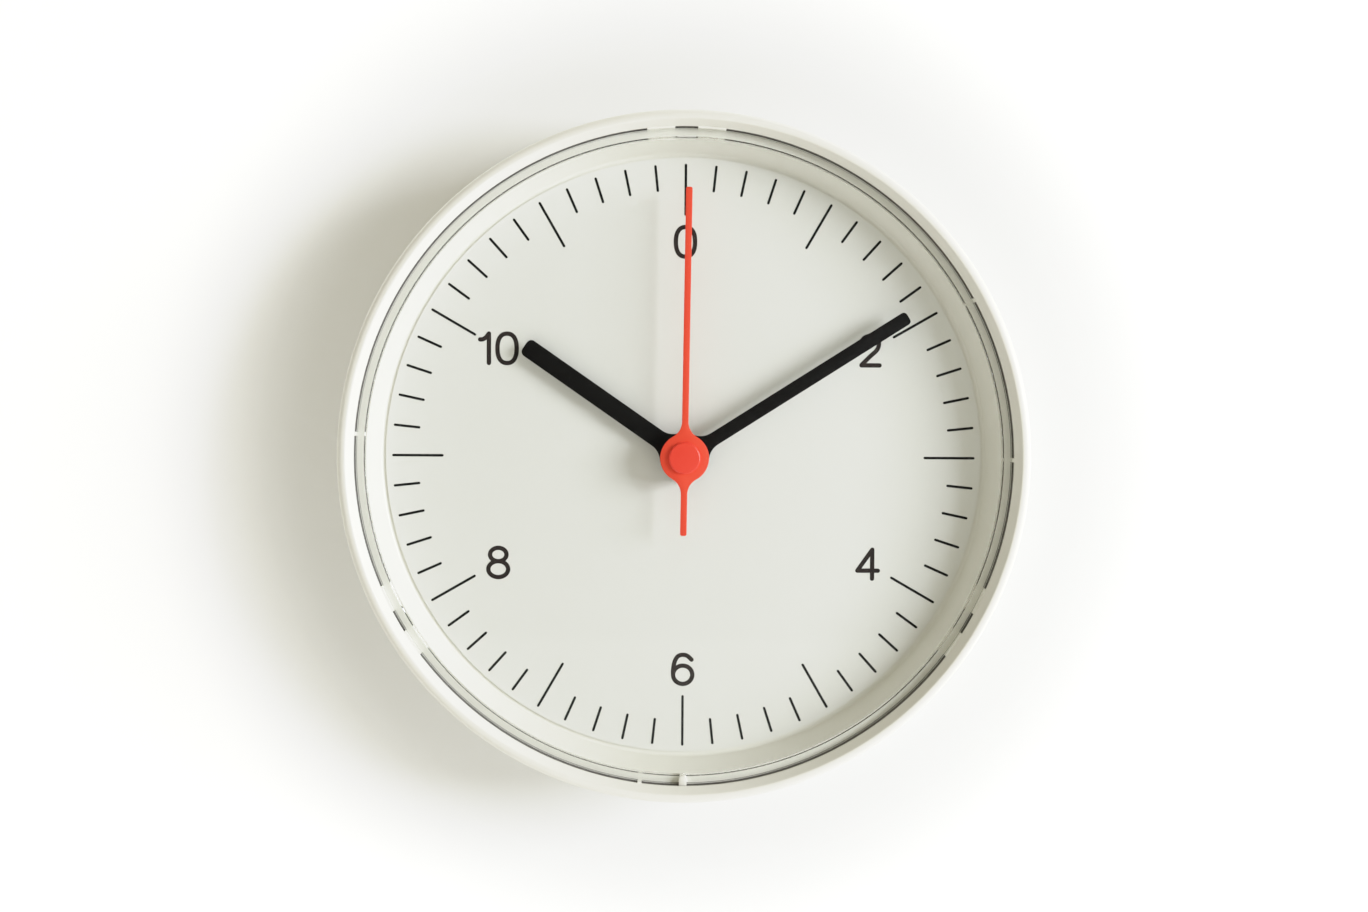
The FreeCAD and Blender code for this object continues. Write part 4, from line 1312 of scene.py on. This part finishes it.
@dataclass
class PowerCell:
    """Round cell: jacket with a pale band, crimped ends and a raised positive end."""

    y: float = -18.9
    z: float = 22.75
    radius: float = 7.25
    start: float = -24.65
    end: float = 25.85

    def build(self) -> bpy.types.Object:
        """Make the cell.

        Returns:
            The object.
        """
        s, e, r = self.start, self.end, self.radius
        corners = [
            (0.0, s + 0.25, 2),
            (4.6, s + 0.25, 2),
            (5.0, s, 2),
            (6.5, s, 2),
            (6.9, s + 0.35, 0),
            (r, s + 0.75, 0),
            (r, e - 14.5, 1),
            (r, e - 2.2, 1),
            (6.9, e - 1.75, 2),
            (6.2, e - 1.6, 2),
            (5.8, e - 1.9, 2),
            (3.0, e - 1.9, 2),
            (2.75, e - 0.25, 2),
            (2.5, e, 2),
            (0.0, e, 2),
        ]
        profile = [(c[0], c[1]) for c in corners]
        numbers = [c[2] for c in corners]

        def place(angle: float, radius: float, along: float) -> Vector:
            """A point about the cell's axis."""
            return stand(along, self.y + radius * math.cos(angle), self.z + radius * math.sin(angle))

        def finish_of(run: int, angle: float) -> int:
            """The finish of one run: jacket, band or can."""
            return numbers[run]

        bm = bmesh.new()
        revolve(bm, lambda angle: profile, even_angles(96), closed=False, place=place, finish_of=finish_of)
        return new_piece("battery_cell_finished", bm, [CELL_JACKET, CELL_BAND, CAN], 28.0)

    def dress(self, piece: bpy.types.Object) -> None:
        """Settle the cell on its own body."""
        settle(piece, "cell", "cell_jacket", "battery_cell")


@dataclass
class WallHanger:
    """Keyhole plate and its two screws."""

    edge: float = 0.22

    def build(self) -> None:
        """Round the plate's and the screws' edges."""
        settle(refined("hanger_plate", PLATE_STEEL, self.edge), "clock", "plate_steel", "hanger_plate")
        settle(refined("hanger_screws", PLATE_STEEL, 0.1), "clock", "plate_steel", "hanger_screws")


# ---------------------------------------------------------------- the studio


@dataclass
class Studio:
    """Pale wall and floor, soft light and the camera."""

    wall_half: float = 1.9
    wall_behind: float = 0.0003
    floor_drop: float = -0.42
    key_power: float = 178.0
    key_away: float = 4.2
    key_side: float = 58.5
    key_rise: float = 9.0
    fill: float = 0.43
    mirrored: float = 0.07
    fill_colour: tuple[float, float, float] = (1.05, 1.0, 0.77)
    key_colour: tuple[float, float, float] = (0.96, 1.0, 1.06)
    distance: float = 0.781
    azimuth: float = -1.0
    elevation: float = 2.65
    roll: float = 0.37
    lens: float = 52.63

    def _wall_material(self) -> bpy.types.Material:
        """Pale wall that glows softly away from the clock and lets light through from behind.

        Returns:
            The material.
        """
        made, g = bare_material("pale_wall")
        place = g.add("ShaderNodeTexCoord").outputs["Object"]
        away = g.add("ShaderNodeVectorMath", {0: place}, operation="LENGTH").outputs["Value"]
        glow = g.add(
            "ShaderNodeMapRange",
            {"Value": away, "From Min": 0.15, "From Max": 0.225, "To Min": 0.0, "To Max": 0.55},
            interpolation_type="SMOOTHSTEP",
        )
        grain = g.add("ShaderNodeTexNoise", {"Vector": place, "Scale": 60.0, "Detail": 3.0})
        bump = g.add("ShaderNodeBump", {"Height": grain.outputs[0], "Strength": 0.1, "Distance": 0.0004})
        body = g.add(
            "ShaderNodeBsdfPrincipled",
            {
                "Base Color": (0.875, 0.875, 0.87, 1.0),
                "Roughness": 0.9,
                "Specular IOR Level": 0.1,
                "Normal": bump.outputs[0],
                "Emission Color": (1.0, 1.0, 1.0, 1.0),
                "Emission Strength": glow.outputs[0],
            },
        )
        through = g.add("ShaderNodeBsdfTransparent")
        back = g.add("ShaderNodeNewGeometry").outputs["Backfacing"]
        lamp = g.add("ShaderNodeLightPath").outputs["Is Shadow Ray"]
        mix = g.add(
            "ShaderNodeMixShader",
            {0: g.math("MAXIMUM", back, lamp), 1: body.outputs[0], 2: through.outputs[0]},
        )
        g.add("ShaderNodeOutputMaterial", {"Surface": mix.outputs[0]})
        return made

    def _floor_material(self) -> bpy.types.Material:
        """Plain pale floor.

        Returns:
            The material.
        """
        made = bpy.data.materials.new("pale_floor")
        made.use_nodes = True
        g = Graph(made.node_tree)
        body = made.node_tree.nodes["Principled BSDF"]
        place = g.add("ShaderNodeTexCoord").outputs["Object"]
        grain = g.add("ShaderNodeTexNoise", {"Vector": place, "Scale": 12.0, "Detail": 3.0})
        ramp = g.add("ShaderNodeMapRange", {"Value": grain.outputs[0], "To Min": 0.62, "To Max": 0.8})
        g.join(ramp.outputs[0], body.inputs["Roughness"])
        body.inputs["Base Color"].default_value = (0.82, 0.82, 0.81, 1.0)
        return made

    def _sheet(self, name: str, corners: list[tuple[float, float, float]], finish: bpy.types.Material) -> None:
        """Add one flat backdrop.

        Args:
            name: its name.
            corners: its corners, in metres, anticlockwise as seen from its front.
            finish: its material.
        """
        mesh = bpy.data.meshes.new(name)
        mesh.from_pydata(corners, [], [tuple(range(len(corners)))])
        mesh.materials.append(finish)
        linked(name, mesh)

    def _lamp(self, name: str, at: Vector, size: Point, power: float, colour: tuple[float, float, float]) -> None:
        """Add one soft lamp that faces the clock.

        Args:
            name: its name.
            at: where it stands, in metres.
            size: its width and height, in metres.
            power: its power, in watts.
            colour: its colour.
        """
        light = bpy.data.lights.new(name, "AREA")
        light.shape = "RECTANGLE"
        light.size, light.size_y = size
        light.energy = power
        light.color = colour
        made = linked(name, light)
        made.location = at
        made.rotation_mode = "QUATERNION"
        made.rotation_quaternion = (Vector((0, -0.03, 0)) - at).to_track_quat("-Z", "Y")

    def build(self) -> None:
        """Make the wall, the floor, the lamps and the camera."""
        w, f, y = self.wall_half, self.floor_drop, self.wall_behind
        self._sheet("wall", [(-w, y, f), (w, y, f), (w, y, w), (-w, y, w)], self._wall_material())
        self._sheet("floor", [(-w, -w, f), (w, -w, f), (w, w, f), (-w, w, f)], self._floor_material())
        side, rise = math.radians(self.key_side), math.radians(self.key_rise)
        key = Vector((math.sin(side) * math.cos(rise), -math.cos(side) * math.cos(rise), math.sin(rise)))
        self._lamp("key", key * self.key_away, (2.0, 1.5), self.key_power, self.key_colour)
        self._lamp("rear_soft", Vector((-0.9, 2.0, 1.1)), (1.8, 1.4), 26.0, (1.0, 1.0, 1.0))
        world = bpy.data.worlds.new("studio_air")
        bpy.context.scene.world = world
        world.use_nodes = True
        world.node_tree.nodes.clear()
        g = Graph(world.node_tree)
        warm = g.add("ShaderNodeBackground", {"Color": (*self.fill_colour, 1.0), "Strength": self.fill})
        plain = g.add("ShaderNodeBackground", {"Color": (0.9, 0.9, 0.9, 1.0), "Strength": 1.0})
        dim = g.add("ShaderNodeBackground", {"Color": (1.0, 1.0, 1.0, 1.0), "Strength": self.mirrored})
        path = g.add("ShaderNodeLightPath").outputs
        mirror = g.math("MAXIMUM", path["Is Glossy Ray"], path["Is Transmission Ray"])
        soft = g.add("ShaderNodeMixShader", {0: mirror, 1: warm.outputs[0], 2: dim.outputs[0]})
        mix = g.add("ShaderNodeMixShader", {0: path["Is Camera Ray"], 1: soft.outputs[0], 2: plain.outputs[0]})
        g.add("ShaderNodeOutputWorld", {"Surface": mix.outputs[0]})
        self._camera()
        self._tone()
        LOG.info("studio: wall, floor, two lamps, camera")

    def _tone(self) -> None:
        """Plain colours with a soft shoulder, so that lit white plastic keeps its shape."""
        seen = bpy.context.scene.view_settings
        seen.view_transform = "Standard"
        seen.use_curve_mapping = True
        shoulder = seen.curve_mapping
        shoulder.white_level = (1.4, 1.4, 1.4)
        line = shoulder.curves[3]
        for x, y in ((0.464, 0.65), (0.571, 0.775), (0.679, 0.855), (0.786, 0.905), (0.9, 0.955)):
            line.points.new(x, y)
        shoulder.update()

    def _camera(self) -> None:
        """Place the camera a little above and to the left of the dial's axis."""
        eye = bpy.data.cameras.new("view")
        eye.lens = self.lens
        eye.sensor_width = 36.0
        made = linked("view", eye)
        a, e = math.radians(self.azimuth), math.radians(self.elevation)
        back = Vector((math.sin(a) * math.cos(e), -math.cos(a) * math.cos(e), math.sin(e)))
        made.location = Vector((-0.00003, -0.035, 0.00025)) + back * self.distance
        made.rotation_mode = "QUATERNION"
        made.rotation_quaternion = (-back).to_track_quat("-Z", "Y") @ Quaternion((0, 0, 1), math.radians(self.roll))
        bpy.context.scene.camera = made


def main() -> None:
    """Build the studio and every sub-assembly of the clock in order."""
    logging.basicConfig(level=logging.INFO, format="%(name)s %(message)s")
    Studio().build()
    case = CaseShell()
    case.dress(case.build())
    front = ClearFront()
    front.dress(front.build())
    face = DialFace()
    face.dress(face.build())
    hands = HandSet()
    hands.dress(hands.build())
    Fastening().build()
    Movement().build()
    cell = PowerCell()
    cell.dress(cell.build())
    WallHanger().build()


if __name__ == "__main__":
    main()
